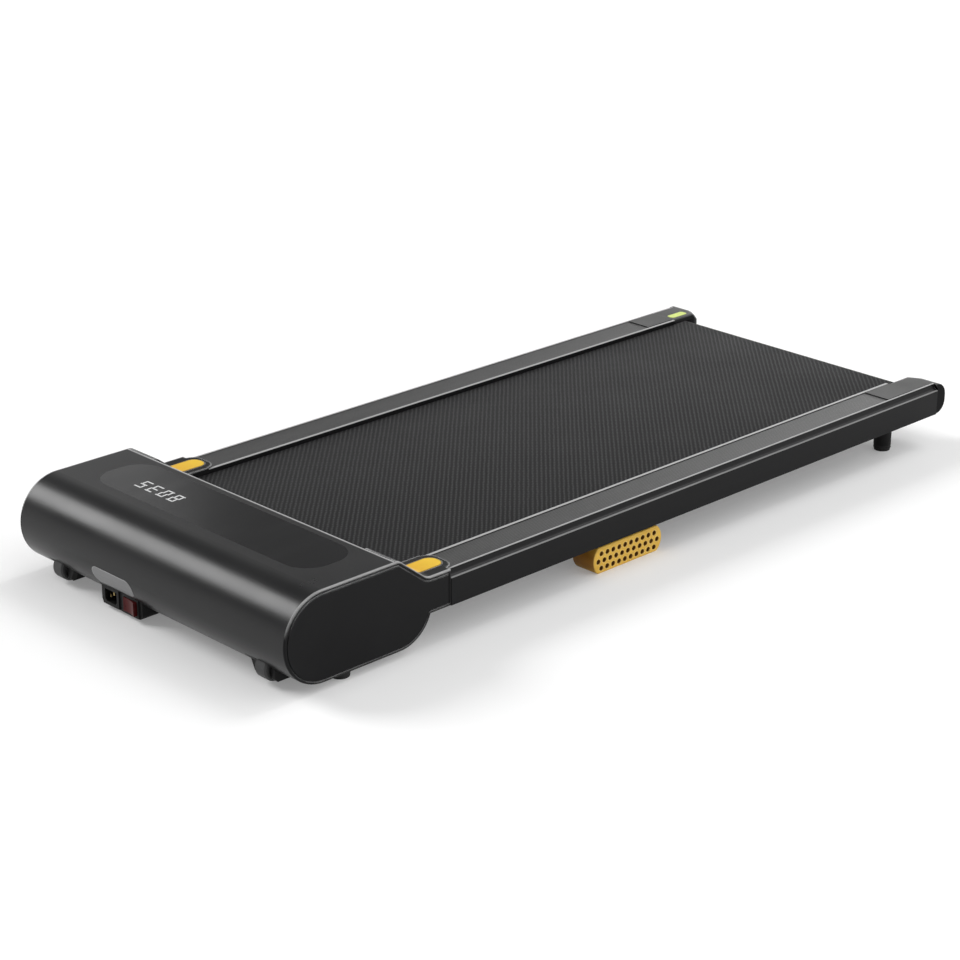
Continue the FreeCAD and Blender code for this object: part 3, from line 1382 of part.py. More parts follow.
def rocker_pin(gap):
    """Pivot pin of the rocker, or its hole when a gap is given."""
    half = ROCKER_HEIGHT / 2 + ROCKER_PIN
    return rod_up(ROCKER_PIN_R + gap, INLET_Z - half - gap, INLET_Z + half + gap, ROCKER_PIVOT_X, SWITCH_Y)


def switch_bezel():
    """Frame of the power switch with its pivot holes."""
    opening = box(
        MODULE_FRONT - OVERRUN,
        MODULE_FRONT + ROCKER_POCKET,
        SWITCH_Y - ROCKER_OPENING / 2,
        SWITCH_Y + ROCKER_OPENING / 2,
        INLET_Z - ROCKER_OPENING_HEIGHT / 2,
        INLET_Z + ROCKER_OPENING_HEIGHT / 2,
    )
    return module_body(SWITCH_Y).cut(opening).cut(rocker_pin(RUN_FIT))


def power_switch():
    """Rocker with a dished face, tilted to its off side."""
    half = ROCKER_WIDTH / 2
    keel = ROCKER_KEEL_WIDTH / 2
    face = outline(
        plan,
        (MODULE_FRONT - ROCKER_CREST, SWITCH_Y - half),
        (MODULE_FRONT - ROCKER_DIP, SWITCH_Y, MODULE_FRONT - ROCKER_CREST, SWITCH_Y + half),
        (MODULE_FRONT + ROCKER_SKIRT, SWITCH_Y + half),
        (MODULE_FRONT + ROCKER_KEEL, SWITCH_Y + keel),
        (MODULE_FRONT + ROCKER_KEEL, SWITCH_Y - keel),
        (MODULE_FRONT + ROCKER_SKIRT, SWITCH_Y - half),
    )
    rocker = upright(face, INLET_Z - ROCKER_HEIGHT / 2, INLET_Z + ROCKER_HEIGHT / 2)
    rocker = rocker.fuse(rocker_pin(0))
    rocker.rotate(Vec(ROCKER_PIVOT_X, SWITCH_Y, 0), Vec(0, 0, 1), -ROCKER_TILT)
    return rocker


def plate_band(low, high):
    """Slice of the nose under the plate, between two heights above its surface."""
    half = PLATE_WIDTH / 2
    left = INLET_OFFSET - half
    right = INLET_OFFSET + half
    bottom = INLET_TOP + PLATE_GAP
    pill = rounded(
        cross_section,
        left,
        right,
        bottom,
        bottom + PLATE_HEIGHT,
        PLATE_HEIGHT * PLATE_END_SHARE,
    )
    band = rod_across(NOSE_R + high, left, right, NOSE_X, NOSE_Z)
    band = band.cut(rod_across(NOSE_R + low, left, right, NOSE_X, NOSE_Z))
    return band.common(along(pill, FRONT - OVERRUN, NOSE_X))


def fork_envelope():
    """Solid outline of the right fork, with a gusset that slants inward at the front."""
    front = WHEEL_X - WHEEL_R - FORK_FRONT_MARGIN
    rear = WHEEL_X + WHEEL_R + FORK_WHEEL_GAP + FORK_REAR_WALL
    face = outline(
        side_view,
        (front, FORK_CLEARANCE),
        (rear - FORK_REAR_BEVEL, FORK_CLEARANCE),
        (rear, FORK_CLEARANCE + FORK_REAR_BEVEL),
        (rear, FORK_CROWN),
        (front + FORK_FRONT_BEVEL, FORK_CROWN),
        (front, FORK_CROWN - FORK_FRONT_DROP),
    )
    gusset = outline(
        cross_section,
        (FORK_INSIDE, FORK_CLEARANCE),
        (FORK_INSIDE, FORK_CLEARANCE + FORK_GUSSET_HEIGHT),
        (FORK_INSIDE - FORK_GUSSET, FORK_CLEARANCE + FORK_GUSSET_HEIGHT),
    )
    body = across(face, FORK_INSIDE, FORK_OUTSIDE)
    return body.fuse(along(gusset, front, front + FORK_GUSSET_LENGTH)).removeSplitter()


def fork_front():
    """Space below the nose in front of the fork's cheeks, where the wheel stands out."""
    front = FRONT - OVERRUN
    edge = WHEEL_X - WHEEL_R + FORK_SETBACK
    face = outline(
        side_view,
        (front, -OVERRUN),
        (edge + FORK_TOE, -OVERRUN),
        (edge + FORK_TOE, FORK_CLEARANCE),
        (edge, FORK_CLEARANCE + FORK_TOE),
        (edge, NOSE_Z),
        (front, NOSE_Z),
    )
    space = across(face, 0, SIDE)
    return space.cut(rod_across(NOSE_R, -OVERRUN, SIDE + OVERRUN, NOSE_X, NOSE_Z))


def wheel_fork():
    """Right fork: two cheeks and a crown over the wheel."""
    fork = fork_envelope()
    low = WHEEL_OFFSET - WHEEL_WIDTH / 2 - FORK_SIDE_GAP
    high = WHEEL_OFFSET + WHEEL_WIDTH / 2 + FORK_SIDE_GAP
    room_r = WHEEL_R + FORK_WHEEL_GAP
    room = rod_across(room_r, low, high, WHEEL_X, WHEEL_Z)
    room = room.fuse(box(WHEEL_X - room_r, WHEEL_X + room_r, low, high, 0, WHEEL_Z))
    fork = fork.cut(room).cut(fork_front())
    return fork.cut(rod_across(AXLE_R, FORK_INSIDE, FORK_OUTSIDE, WHEEL_X, WHEEL_Z))


def wheel_axle():
    return rod_across(AXLE_R, FORK_INSIDE, FORK_OUTSIDE, WHEEL_X, WHEEL_Z)


def wheel():
    """Right transport wheel with a tread ring standing on a narrower rim."""
    low = WHEEL_OFFSET - WHEEL_WIDTH / 2
    high = WHEEL_OFFSET + WHEEL_WIDTH / 2
    disc = rod_across(WHEEL_R, low, high, WHEEL_X, WHEEL_Z)
    disc = disc.makeChamfer(WHEEL_EDGE, [edge for edge in disc.Edges if edge.BoundBox.YLength < SAME_POINT])
    dish_r = WHEEL_R - WHEEL_EDGE - WHEEL_TREAD
    hub_r = AXLE_R + WHEEL_TREAD
    for y0, y1 in ((low - OVERRUN, low + WHEEL_EDGE), (high - WHEEL_EDGE, high + OVERRUN)):
        dish = rod_across(dish_r, y0, y1, WHEEL_X, WHEEL_Z)
        disc = disc.cut(dish.cut(rod_across(hub_r, y0, y1, WHEEL_X, WHEEL_Z)))
    return disc.cut(rod_across(AXLE_R + RUN_FIT, low, high, WHEEL_X, WHEEL_Z))


def front_foot():
    """Right rubber foot under the pan."""
    foot = rod_up(FRONT_FOOT_R, 0, HOOD_CLEARANCE, HOOD_REAR - FRONT_FOOT_SETBACK, SIDE - FRONT_FOOT_INSET)
    return foot.makeFillet(FOOT_ROUND, [edge for edge in foot.Edges if edge.BoundBox.ZMax < SAME_POINT])


def rear_leg():
    """Right leg under the rail: a round post that flares at its top."""
    wide = REAR_FOOT_R + REAR_LEG_FLARE
    neck = RAIL_CLEARANCE - REAR_LEG_FLARE_HEIGHT
    turn = math.sqrt(0.5)
    face = outline(
        side_view,
        (0, REAR_FOOT_HEIGHT),
        (REAR_FOOT_R, REAR_FOOT_HEIGHT),
        (REAR_FOOT_R, neck),
        (wide - REAR_LEG_FLARE * turn, neck + REAR_LEG_FLARE_HEIGHT * turn, wide, RAIL_CLEARANCE),
        (0, RAIL_CLEARANCE),
    )
    leg = face.revolve(Vec(0, 0, 0), Vec(0, 0, 1), 360)
    return leg.translated(Vec(REAR_LEG_X, REAR_LEG_Y, 0))


def rear_foot():
    foot = rod_up(REAR_FOOT_R, 0, REAR_FOOT_HEIGHT, REAR_LEG_X, REAR_LEG_Y)
    return foot.makeFillet(FOOT_ROUND, [edge for edge in foot.Edges if edge.BoundBox.ZMax < SAME_POINT])


def shock_block():
    """Right shock block: an elastomer bar with bowed ends and staggered rows of holes."""
    half = BLOCK_LENGTH / 2
    flat = BLOCK_FLAT
    middle = BLOCK_HEIGHT / 2
    face = outline(
        side_view,
        (BLOCK_X - flat, 0),
        (BLOCK_X + flat, 0),
        (BLOCK_X + half, middle, BLOCK_X + flat, BLOCK_HEIGHT),
        (BLOCK_X - flat, BLOCK_HEIGHT),
        (BLOCK_X - half, middle, BLOCK_X - flat, 0),
    )
    block = across(face, BLOCK_INSIDE, BLOCK_OUTSIDE)
    front_rim = [edge for edge in block.Edges if edge.BoundBox.YMin > BLOCK_OUTSIDE - SAME_POINT]
    block = block.makeFillet(BLOCK_ROUND, front_rim)
    holes = []
    for row, count in enumerate(BLOCK_HOLE_ROWS):
        z = middle - BLOCK_ROW_DROP + (1 - row) * BLOCK_HEIGHT * BLOCK_ROW_SHARE
        reach = BLOCK_HOLE_PITCH * (count - 1) / 2
        for x in spread(BLOCK_X - reach, BLOCK_X + reach, count):
            holes.append(rod_across(BLOCK_HOLE_R, BLOCK_INSIDE - OVERRUN, BLOCK_OUTSIDE + OVERRUN, x, z))
    return block.cut(Part.makeCompound(holes))


def shock_block_bracket():
    """Right plate that holds a shock block under the rail."""
    face = rounded(
        plan,
        BLOCK_X - BLOCK_FLAT,
        BLOCK_X + BLOCK_FLAT,
        BLOCK_INSIDE,
        BLOCK_OUTSIDE - BLOCK_PLATE_MARGIN,
        BLOCK_PLATE_MARGIN,
    )
    return upright(face, BLOCK_HEIGHT, RAIL_CLEARANCE)


LIME_TOP = RAIL_TOP + LIME_PROUD
RIGHT_REAR_CAP = rear_cap().cut(lime_slab(RAIL_TOP - LIME_DEPTH, RAIL_TOP + OVERRUN))
RIGHT_INLAY = inlay_band(-INLAY_DEPTH, INLAY_PROUD)

NODES = {
    "hood_cover": hood_cover(),
    "base_pan": base_pan(),
    "left_end_cap": left_of(end_cap()),
    "right_end_cap": end_cap(),
    "shoulder_inlays": pair(RIGHT_INLAY),
    "display_window": window_slab(WINDOW_BOTTOM, HEIGHT),
    "display_module": display_module(),
    "nose_plate": plate_band(-PLATE_DEPTH, PLATE_PROUD),
    "inlet_housing": inlet_housing(),
    "power_socket": power_socket(),
    "socket_blades": socket_blades(),
    "switch_bezel": switch_bezel(),
    "power_switch": power_switch(),
    "controller_board": controller_board(),
    "controller_heatsink": controller_heatsink(),
    "controller_parts": controller_parts(),
    "motor_can": motor_can(),
    "motor_cradle": motor_cradle(),
    "motor_shaft": motor_shaft(),
    "motor_armature": motor_armature(),
    "motor_pulley": motor_pulley(),
    "motor_fan": motor_fan(),
    "drive_belt": drive_belt(),
    "front_roller_tube": roller_tube(FRONT_AXIS),
    "front_roller_pulley": front_roller_pulley(),
    "front_roller_shaft": front_roller_shaft(),
    "front_bearings": roller_bearings(FRONT_AXIS),
    "front_roller_brackets": pair(front_roller_bracket()),
    "rear_roller_tube": roller_tube(REAR_AXIS),
    "rear_roller_shaft": rear_roller_shaft(),
    "rear_bearings": roller_bearings(REAR_AXIS),
    "rear_roller_brackets": pair(rear_roller_bracket()),
    "left_tension_bolt": left_of(tension_bolt()),
    "right_tension_bolt": tension_bolt(),
    "running_belt": running_belt(),
    "deck_board": deck_board(),
    "deck_cushions": deck_cushions(),
    "deck_screws": deck_screws(),
    "side_tubes": pair(side_tube()),
    "cross_tubes": cross_tubes(),
    "left_rail": left_of(rail()),
    "right_rail": rail(),
    "rail_screws": rail_screws(),
    "tread_strips": pair(tread_strip()),
    "left_rear_cap": left_of(rear_cap()),
    "right_rear_cap": RIGHT_REAR_CAP,
    "lime_inlay": lime_slab(RAIL_TOP - LIME_DEPTH, LIME_TOP),
    "shock_blocks": pair(shock_block()),
    "shock_block_brackets": pair(shock_block_bracket()),
    "front_feet": pair(front_foot()),
    "rear_feet": pair(rear_foot()),
    "rear_legs": pair(rear_leg()),
    "left_wheel": left_of(wheel()),
    "right_wheel": wheel(),
    "wheel_forks": pair(wheel_fork()),
    "wheel_axles": pair(wheel_axle()),
    "pan_screws": pan_screws(),
    "mains_lead": mains_lead(),
    "motor_lead": motor_lead(),
    "display_lead": display_lead(),
}

os.makedirs("parts", exist_ok=True)
for name, shape in NODES.items():
    shape.exportStep("parts/" + name + ".step")
print(len(NODES), "nodes")
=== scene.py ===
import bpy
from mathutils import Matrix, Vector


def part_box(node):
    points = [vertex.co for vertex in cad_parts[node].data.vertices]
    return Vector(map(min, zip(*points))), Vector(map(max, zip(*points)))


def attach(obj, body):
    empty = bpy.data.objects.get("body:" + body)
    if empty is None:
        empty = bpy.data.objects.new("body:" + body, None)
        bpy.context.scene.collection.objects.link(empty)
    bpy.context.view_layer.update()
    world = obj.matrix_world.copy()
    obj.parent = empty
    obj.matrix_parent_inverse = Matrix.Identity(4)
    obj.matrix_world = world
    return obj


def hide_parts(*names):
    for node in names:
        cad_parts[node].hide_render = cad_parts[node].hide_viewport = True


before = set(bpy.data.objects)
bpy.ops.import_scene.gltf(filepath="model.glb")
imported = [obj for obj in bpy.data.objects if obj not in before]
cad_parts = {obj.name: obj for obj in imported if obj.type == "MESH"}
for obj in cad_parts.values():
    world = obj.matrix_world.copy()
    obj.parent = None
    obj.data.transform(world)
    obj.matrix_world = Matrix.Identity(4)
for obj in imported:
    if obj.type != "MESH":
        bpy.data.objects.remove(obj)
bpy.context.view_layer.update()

import math

import bpy
from mathutils import Vector

# Welded steel frame: two long box tubes inside the rails, four cross tubes and the roller brackets.
# Mild steel, cut, welded and powder coated black, with a slight orange-peel skin.
# Its finish is also the first use of the grain and the edge mask that most pieces share, for edge wear and
# for painted highlights.


def node(tree, kind, inputs=None, **settings):
    made = tree.nodes.new("ShaderNode" + kind)
    for label, value in settings.items():
        setattr(made, label, value)
    for label, value in (inputs or {}).items():
        if isinstance(value, bpy.types.NodeSocket):
            tree.links.new(value, made.inputs[label])
        else:
            made.inputs[label].default_value = value
    return made


def effect(name, inputs, outputs):
    tree = bpy.data.node_groups.new(name, "ShaderNodeTree")
    for label, value in inputs.items():
        tree.interface.new_socket(label, in_out="INPUT", socket_type="NodeSocketFloat").default_value = value
    for label in outputs:
        tree.interface.new_socket(label, in_out="OUTPUT", socket_type="NodeSocketFloat")
    return tree, tree.nodes.new("NodeGroupInput").outputs, tree.nodes.new("NodeGroupOutput").inputs


def object_place(tree):
    return node(tree, "TexCoord").outputs["Object"]


def noise(tree, place, scale, detail, roughness=0.5):
    sockets = {"Vector": place, "Scale": scale, "Detail": detail, "Roughness": roughness}
    return node(tree, "TexNoise", sockets).outputs["Fac"]


def remap(tree, value, start=(0.0, 1.0), to=(0.0, 1.0)):
    sockets = {"Value": value, "From Min": start[0], "From Max": start[1], "To Min": to[0], "To Max": to[1]}
    return node(tree, "MapRange", sockets).outputs["Result"]


surface_grain, given, result = effect("surface_grain", {"Fine": 900.0, "Broad": 14.0}, ("Height", "Shade"))
place = object_place(surface_grain)
broad = noise(surface_grain, place, scale=given["Broad"], detail=5.0, roughness=0.62)
surface_grain.links.new(noise(surface_grain, place, scale=given["Fine"], detail=3.0), result["Height"])
surface_grain.links.new(remap(surface_grain, broad, start=(0.32, 0.68)), result["Shade"])


def maths(tree, operation, *values, **settings):
    return node(tree, "Math", dict(enumerate(values)), operation=operation, **settings).outputs["Value"]


def axis(tree, vector, letter):
    return node(tree, "SeparateXYZ", {"Vector": vector}).outputs[letter]


def facing(tree):
    return node(tree, "NewGeometry").outputs["Normal"]


# Shared edge mask: with Upward at 0 it marks edge wear; with Upward at 1 it keeps only upward-facing edges,
# which are painted highlights; on the inlay it marks painted shade along the edges.
edge_wear_and_light, given, result = effect("edge_wear_and_light", {"Width": 0.0008, "Reach": 2.5, "Upward": 0.0}, ("Mask",))
rounded = node(edge_wear_and_light, "Bevel", {"Radius": given["Width"]}, samples=4).outputs["Normal"]
upper = remap(edge_wear_and_light, axis(edge_wear_and_light, rounded, "Z"), start=(0.2, 0.6))
lower = maths(edge_wear_and_light, "SUBTRACT", upper, 1.0)
kept = maths(edge_wear_and_light, "MULTIPLY_ADD", lower, given["Upward"], 1.0)
turn = node(edge_wear_and_light, "VectorMath", {0: rounded, 1: facing(edge_wear_and_light)}, operation="DOT_PRODUCT")
bend = maths(edge_wear_and_light, "SUBTRACT", 1.0, turn.outputs["Value"])
amount = maths(edge_wear_and_light, "MULTIPLY", bend, given["Reach"], use_clamp=True)
edge_breakup = noise(edge_wear_and_light, object_place(edge_wear_and_light), scale=45.0, detail=4.0)
broken = remap(edge_wear_and_light, edge_breakup, start=(0.3, 0.7), to=(0.5, 1.0))
rubbed = maths(edge_wear_and_light, "MULTIPLY", amount, broken)
edge_wear_and_light.links.new(maths(edge_wear_and_light, "MULTIPLY", rubbed, kept), result["Mask"])


def edge_wear_and_light_mask(tree, width, reach, upward=0.0):
    sockets = {"Width": width, "Reach": reach, "Upward": upward}
    return node(tree, "Group", sockets, node_tree=edge_wear_and_light).outputs["Mask"]


def blend_colours(tree, amount, first, second):
    mix = node(tree, "Mix", data_type="RGBA")
    tree.links.new(amount, mix.inputs["Factor"])
    for socket, colour in ((mix.inputs[6], first), (mix.inputs[7], second)):
        if isinstance(colour, bpy.types.NodeSocket):
            tree.links.new(colour, socket)
        else:
            socket.default_value = (*colour, 1.0)
    return mix.outputs[2]


def new_finish(name, **constants):
    finish = bpy.data.materials.new(name)
    finish.use_nodes = True
    skin = finish.node_tree.nodes["Principled BSDF"]
    for label, value in constants.items():
        skin.inputs[label.replace("_", " ")].default_value = value
    return finish, finish.node_tree, skin


def coat(tree, skin, colour, shade, rough, height=None, depth=0.0, strength=1.0):
    tree.links.new(colour, skin.inputs["Base Color"])
    tree.links.new(remap(tree, shade, to=rough), skin.inputs["Roughness"])
    if height is not None:
        bump = node(tree, "Bump", {"Height": height, "Distance": depth, "Strength": strength})
        tree.links.new(bump.outputs["Normal"], skin.inputs["Normal"])


def grained(
    name, dark, light, rough, fine=900.0, broad=14.0, depth=0.00006,
    wear_and_highlight_colour=None, width=0.0008, reach=2.5, upward=0.0, **constants,
):
    finish, tree, skin = new_finish(name, **constants)
    grain = node(tree, "Group", {"Fine": fine, "Broad": broad}, node_tree=surface_grain).outputs
    colour = blend_colours(tree, grain["Shade"], dark, light)
    # The edge colour is edge wear on most finishes and a painted highlight where upward is 1.
    if wear_and_highlight_colour:
        colour = blend_colours(tree, edge_wear_and_light_mask(tree, width, reach, upward), colour, wear_and_highlight_colour)
    coat(tree, skin, colour, grain["Shade"], rough, grain["Height"], depth)
    return finish


def dress(finish, *names):
    for name in names:
        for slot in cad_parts[name].material_slots:
            slot.link = "OBJECT"
            slot.material = finish


powder_coat = grained(
    "powder_coat", (0.012, 0.012, 0.013), (0.02, 0.02, 0.021), (0.38, 0.5), fine=420.0, depth=0.00012,
    wear_and_highlight_colour=(0.05, 0.05, 0.05), Specular_IOR_Level=0.4,
)
dress(powder_coat, "side_tubes", "cross_tubes", "front_roller_brackets", "rear_roller_brackets")
dress(powder_coat, "shock_block_brackets")

# Deck board: the stiff plate below the belt, screwed to rubber cushions on the frame.
# Medium-density fibreboard with a black phenolic film on both faces and a bare sawn edge.
deck_low, deck_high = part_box("deck_board")
film_depth = 0.0002
deck_face, tree, skin = new_finish("deck_face", Specular_IOR_Level=0.35)
place = object_place(tree)
height = axis(tree, place, "Z")
above = maths(tree, "GREATER_THAN", height, deck_high.z - film_depth)
below = maths(tree, "LESS_THAN", height, deck_low.z + film_depth)
film = maths(tree, "MAXIMUM", above, below)
fibres = noise(tree, place, scale=700.0, detail=6.0, roughness=0.75)
sawn = blend_colours(tree, fibres, (0.05, 0.032, 0.018), (0.14, 0.09, 0.05))
smear = noise(tree, place, scale=30.0, detail=4.0)
waxed = blend_colours(tree, smear, (0.009, 0.009, 0.009), (0.016, 0.016, 0.016))
board_colour = blend_colours(tree, film, sawn, waxed)
coat(tree, skin, board_colour, shade=film, rough=(0.85, 0.35), height=fibres, depth=0.0001)
dress(deck_face, "deck_board")

soft_rubber = grained(
    "soft_rubber", (0.012, 0.012, 0.012), (0.024, 0.024, 0.024), (0.7, 0.85), fine=1300.0, depth=0.00005,
    wear_and_highlight_colour=(0.035, 0.035, 0.034), Specular_IOR_Level=0.25,
)
dress(soft_rubber, "deck_cushions")

# Screws, shafts, bolts and axles: turned carbon steel, zinc plated.
# They hold the deck, the rails, the pan, the rollers and the wheels.
zinc_plate = grained(
    "zinc_plate", (0.46, 0.47, 0.48), (0.62, 0.63, 0.63), (0.26, 0.42), fine=1500.0, broad=60.0,
    depth=0.00002, wear_and_highlight_colour=(0.75, 0.75, 0.74), width=0.0004, Metallic=1.0,
)
dress(zinc_plate, "deck_screws", "rail_screws", "pan_screws", "front_roller_shaft", "rear_roller_shaft")
dress(zinc_plate, "left_tension_bolt", "right_tension_bolt", "wheel_axles", "motor_shaft")

# Rollers: steel tubes turned on ball bearings, which carry the belt at both ends.
# The front one has the large pulley pressed on its left end, and the drive belt runs on it.


def mapped(tree, place, **sockets):
    return node(tree, "Mapping", {"Vector": place, **sockets}).outputs["Vector"]


turned_steel, tree, skin = new_finish("turned_steel", Metallic=1.0)
rings = mapped(tree, object_place(tree), Scale=(3.0, 1600.0, 3.0))
cut = noise(tree, rings, scale=1.0, detail=3.0)
bare_steel = blend_colours(tree, cut, (0.3, 0.3, 0.31), (0.55, 0.55, 0.55))
coat(tree, skin, bare_steel, shade=cut, rough=(0.24, 0.4), height=cut, depth=0.00002)
dress(turned_steel, "front_roller_tube", "rear_roller_tube", "front_bearings", "rear_bearings")

cast_alloy = grained(
    "cast_alloy", (0.28, 0.28, 0.29), (0.4, 0.4, 0.4), (0.38, 0.55), fine=600.0, depth=0.00008,
    wear_and_highlight_colour=(0.6, 0.6, 0.6), Metallic=1.0,
)
dress(cast_alloy, "front_roller_pulley", "motor_pulley")
dress(soft_rubber, "drive_belt")

# Running belt: an endless band round both rollers, over and under the deck.
# Woven polyester with a black PVC face that is embossed with a fine diamond pattern.
belt_low, belt_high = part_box("running_belt")
belt_thick = 0.0018
belt_edge = 0.0005
bend_steps = 28
bend_r = (belt_high.z - belt_low.z) / 2
axis_z = (belt_high.z + belt_low.z) / 2
front_axis = belt_low.x + bend_r
rear_axis = belt_high.x - bend_r
run = rear_axis - front_axis
hair = 0.0001
merge_reach = 0.00005
smooth_below = math.radians(35)


def start_piece(name):
    bpy.context.object.name = name
    bpy.context.object.data.name = name
    bpy.ops.object.mode_set(mode="EDIT")
    bpy.ops.mesh.select_all(action="DESELECT")
    return bpy.context.object


def pick(piece, test, mode="VERT"):
    bpy.ops.mesh.select_mode(type=mode)
    bpy.ops.mesh.select_all(action="DESELECT")
    bpy.ops.object.mode_set(mode="OBJECT")
    mesh = piece.data
    if mode == "VERT":
        for vertex in mesh.vertices:
            vertex.select = test(vertex.co)
    elif mode == "EDGE":
        for edge in mesh.edges:
            ends = [mesh.vertices[index].co for index in edge.vertices]
            edge.select = test(ends[0]) and test(ends[1])
    else:
        for face in mesh.polygons:
            face.select = test(face)
    bpy.ops.object.mode_set(mode="EDIT")


def face_outward():
    bpy.ops.mesh.select_all(action="SELECT")
    bpy.ops.mesh.normals_make_consistent(inside=False)


def make_active(piece):
    bpy.ops.object.select_all(action="DESELECT")
    piece.select_set(True)
    bpy.context.view_layer.objects.active = piece


def finish_piece(piece, finish, body, slot, *nodes):
    bpy.ops.object.mode_set(mode="OBJECT")
    make_active(piece)
    bpy.ops.object.transform_apply(location=True, rotation=True, scale=True)
    bpy.ops.object.shade_smooth_by_angle(angle=smooth_below)
    piece.data.materials.clear()
    piece.data.materials.append(finish)
    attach(piece, body)
    if nodes:
        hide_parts(*nodes)
    return piece


def apply_modifier(piece, kind, **settings):
    bpy.ops.object.mode_set(mode="OBJECT")
    modifier = piece.modifiers.new(kind.lower(), kind)
    for label, value in settings.items():
        setattr(modifier, label, value)
    bpy.context.view_layer.objects.active = piece
    bpy.ops.object.modifier_apply(modifier=modifier.name)


def round_edges(piece, width, segments, sharper_than):
    limit = math.radians(sharper_than)
    apply_modifier(piece, "BEVEL", width=width, segments=segments, limit_method="ANGLE", angle_limit=limit)


bpy.ops.object.select_all(action="DESELECT")
bpy.ops.mesh.primitive_plane_add(size=1.0, location=((front_axis + rear_axis) / 2, 0, belt_high.z))
bpy.context.object.scale = (run, belt_high.y - belt_low.y, 1.0)
bpy.ops.object.transform_apply(location=True, rotation=True, scale=True)
belt = start_piece("walking_belt")
pick(belt, lambda co: co.x > rear_axis - hair, "EDGE")
bpy.ops.mesh.spin(steps=bend_steps, angle=math.pi, center=(rear_axis, 0, axis_z), axis=(0, -1, 0))
pick(belt, lambda co: co.z < belt_low.z + hair, "EDGE")
bpy.ops.mesh.extrude_region_move(TRANSFORM_OT_translate={"value": (-run, 0, 0)})
pick(belt, lambda co: co.z < belt_low.z + hair and co.x < front_axis + hair, "EDGE")
bpy.ops.mesh.spin(steps=bend_steps, angle=math.pi, center=(front_axis, 0, axis_z), axis=(0, -1, 0))
bpy.ops.mesh.select_all(action="SELECT")
bpy.ops.mesh.remove_doubles(threshold=merge_reach)
face_outward()
apply_modifier(belt, "SOLIDIFY", thickness=belt_thick, offset=-1.0, use_even_offset=True)
round_edges(belt, belt_edge, segments=2, sharper_than=60)


def along_belt(co):
    if co.x > rear_axis:
        return run + bend_r * math.atan2(co.x - rear_axis, co.z - axis_z)
    if co.x < front_axis:
        return run * 2 + bend_r * (math.pi + math.atan2(front_axis - co.x, axis_z - co.z))
    if co.z > axis_z:
        return co.x - front_axis
    return run + bend_r * math.pi + rear_axis - co.x


belt_length = run * 2 + bend_r * math.pi * 2
layout = belt.data.uv_layers[0]
for face in belt.data.polygons:
    middle = along_belt(face.center)
    for corner in face.loop_indices:
        co = belt.data.vertices[belt.data.loops[corner].vertex_index].co
        reach = along_belt(co)
        if middle - reach > belt_length / 2:
            reach += belt_length
        if reach - middle > belt_length / 2:
            reach -= belt_length
        layout.data[corner].uv = (reach, co.y)

diamond_pitch = 0.0058
diamond_lean = math.radians(45)
waves_per_scale = 3.18
fibre_share = 0.12
belt_face, tree, skin = new_finish("belt_face", Specular_IOR_Level=0.1)
run_place = node(tree, "UVMap", uv_map=layout.name).outputs["UV"]
ridges = []
for lean in (-diamond_lean, diamond_lean):
    sockets = {
        "Vector": mapped(tree, run_place, Rotation=(0.0, 0.0, lean)),
        "Scale": 1.0 / diamond_pitch / waves_per_scale,
        "Distortion": 1.1, "Detail": 2.0, "Detail Scale": 1.6,
    }
    wave = node(tree, "TexWave", sockets, wave_type="BANDS", bands_direction="Y", wave_profile="SIN")
    ridges.append(remap(tree, wave.outputs["Fac"], start=(0.3, 0.95)))
crossing = remap(tree, ridges[1], to=(0.6, 1.0))
emboss = maths(tree, "MULTIPLY", ridges[0], crossing)
wear = noise(tree, run_place, scale=9.0, detail=5.0, roughness=0.6)
fibre = noise(tree, run_place, scale=2200.0, detail=2.0)
# The emboss grooves are painted darker than the crests: painted shade in the recesses.
grooves = blend_colours(tree, wear, (0.008, 0.008, 0.0085), (0.013, 0.013, 0.0135))
crests = blend_colours(tree, wear, (0.029, 0.029, 0.03), (0.043, 0.043, 0.044))
crests_and_shaded_grooves = blend_colours(tree, emboss, grooves, crests)
relief = maths(tree, "MULTIPLY_ADD", fibre, fibre_share, emboss)
coat(tree, skin, crests_and_shaded_grooves, shade=wear, rough=(0.5, 0.7), height=relief, depth=0.0004, strength=0.8)
finish_piece(belt, belt_face, "pad_body", "belt_black", "running_belt")

# Rails: aluminium extrusions along both sides, black anodised, screwed to the frame from below.
# Drawing leaves faint lines along them, and the lips and the outer ledge carry painted highlights, light
# bands where the light catches them.
rail_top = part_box("right_rail")[1].z
rail_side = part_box("right_rail")[1].y
lip_band = (rail_top - 0.0007, rail_top - 0.0002)
ledge_band = (rail_side - 0.002, rail_side - 0.001)
cove_drop = 0.0082
cove_half = 0.0014
ledge_share = 0.62
rail_anodised, tree, skin = new_finish("rail_anodised", Specular_IOR_Level=0.1)
place = object_place(tree)
height = axis(tree, place, "Z")
lines = noise(tree, mapped(tree, place, Scale=(4.0, 1900.0, 1900.0)), scale=1.0, detail=3.0)
patches = noise(tree, place, scale=8.0, detail=4.0)
black = blend_colours(tree, lines, (0.006, 0.006, 0.0065), (0.011, 0.011, 0.0115))
bright = blend_colours(tree, lines, (0.28, 0.28, 0.28), (0.46, 0.46, 0.46))
# The lips, the outer ledge and the upward edges are painted light: painted highlights along the rail.
lip = remap(tree, height, start=lip_band)
outer = remap(tree, maths(tree, "ABSOLUTE", axis(tree, place, "Y")), start=ledge_band)
drop = maths(tree, "COMPARE", height, rail_top - cove_drop, cove_half)
ledge = maths(tree, "MULTIPLY", maths(tree, "MULTIPLY", outer, drop), ledge_share)
shining = maths(tree, "MAXIMUM", lip, ledge)
painted_lip_highlight = maths(tree, "MAXIMUM", edge_wear_and_light_mask(tree, width=0.0016, reach=7.0, upward=1.0), shining)
rail_colour = blend_colours(tree, painted_lip_highlight, black, bright)
coat(tree, skin, rail_colour, shade=patches, rough=(0.3, 0.42), height=lines, depth=0.00004)
dress(rail_anodised, "left_rail", "right_rail")

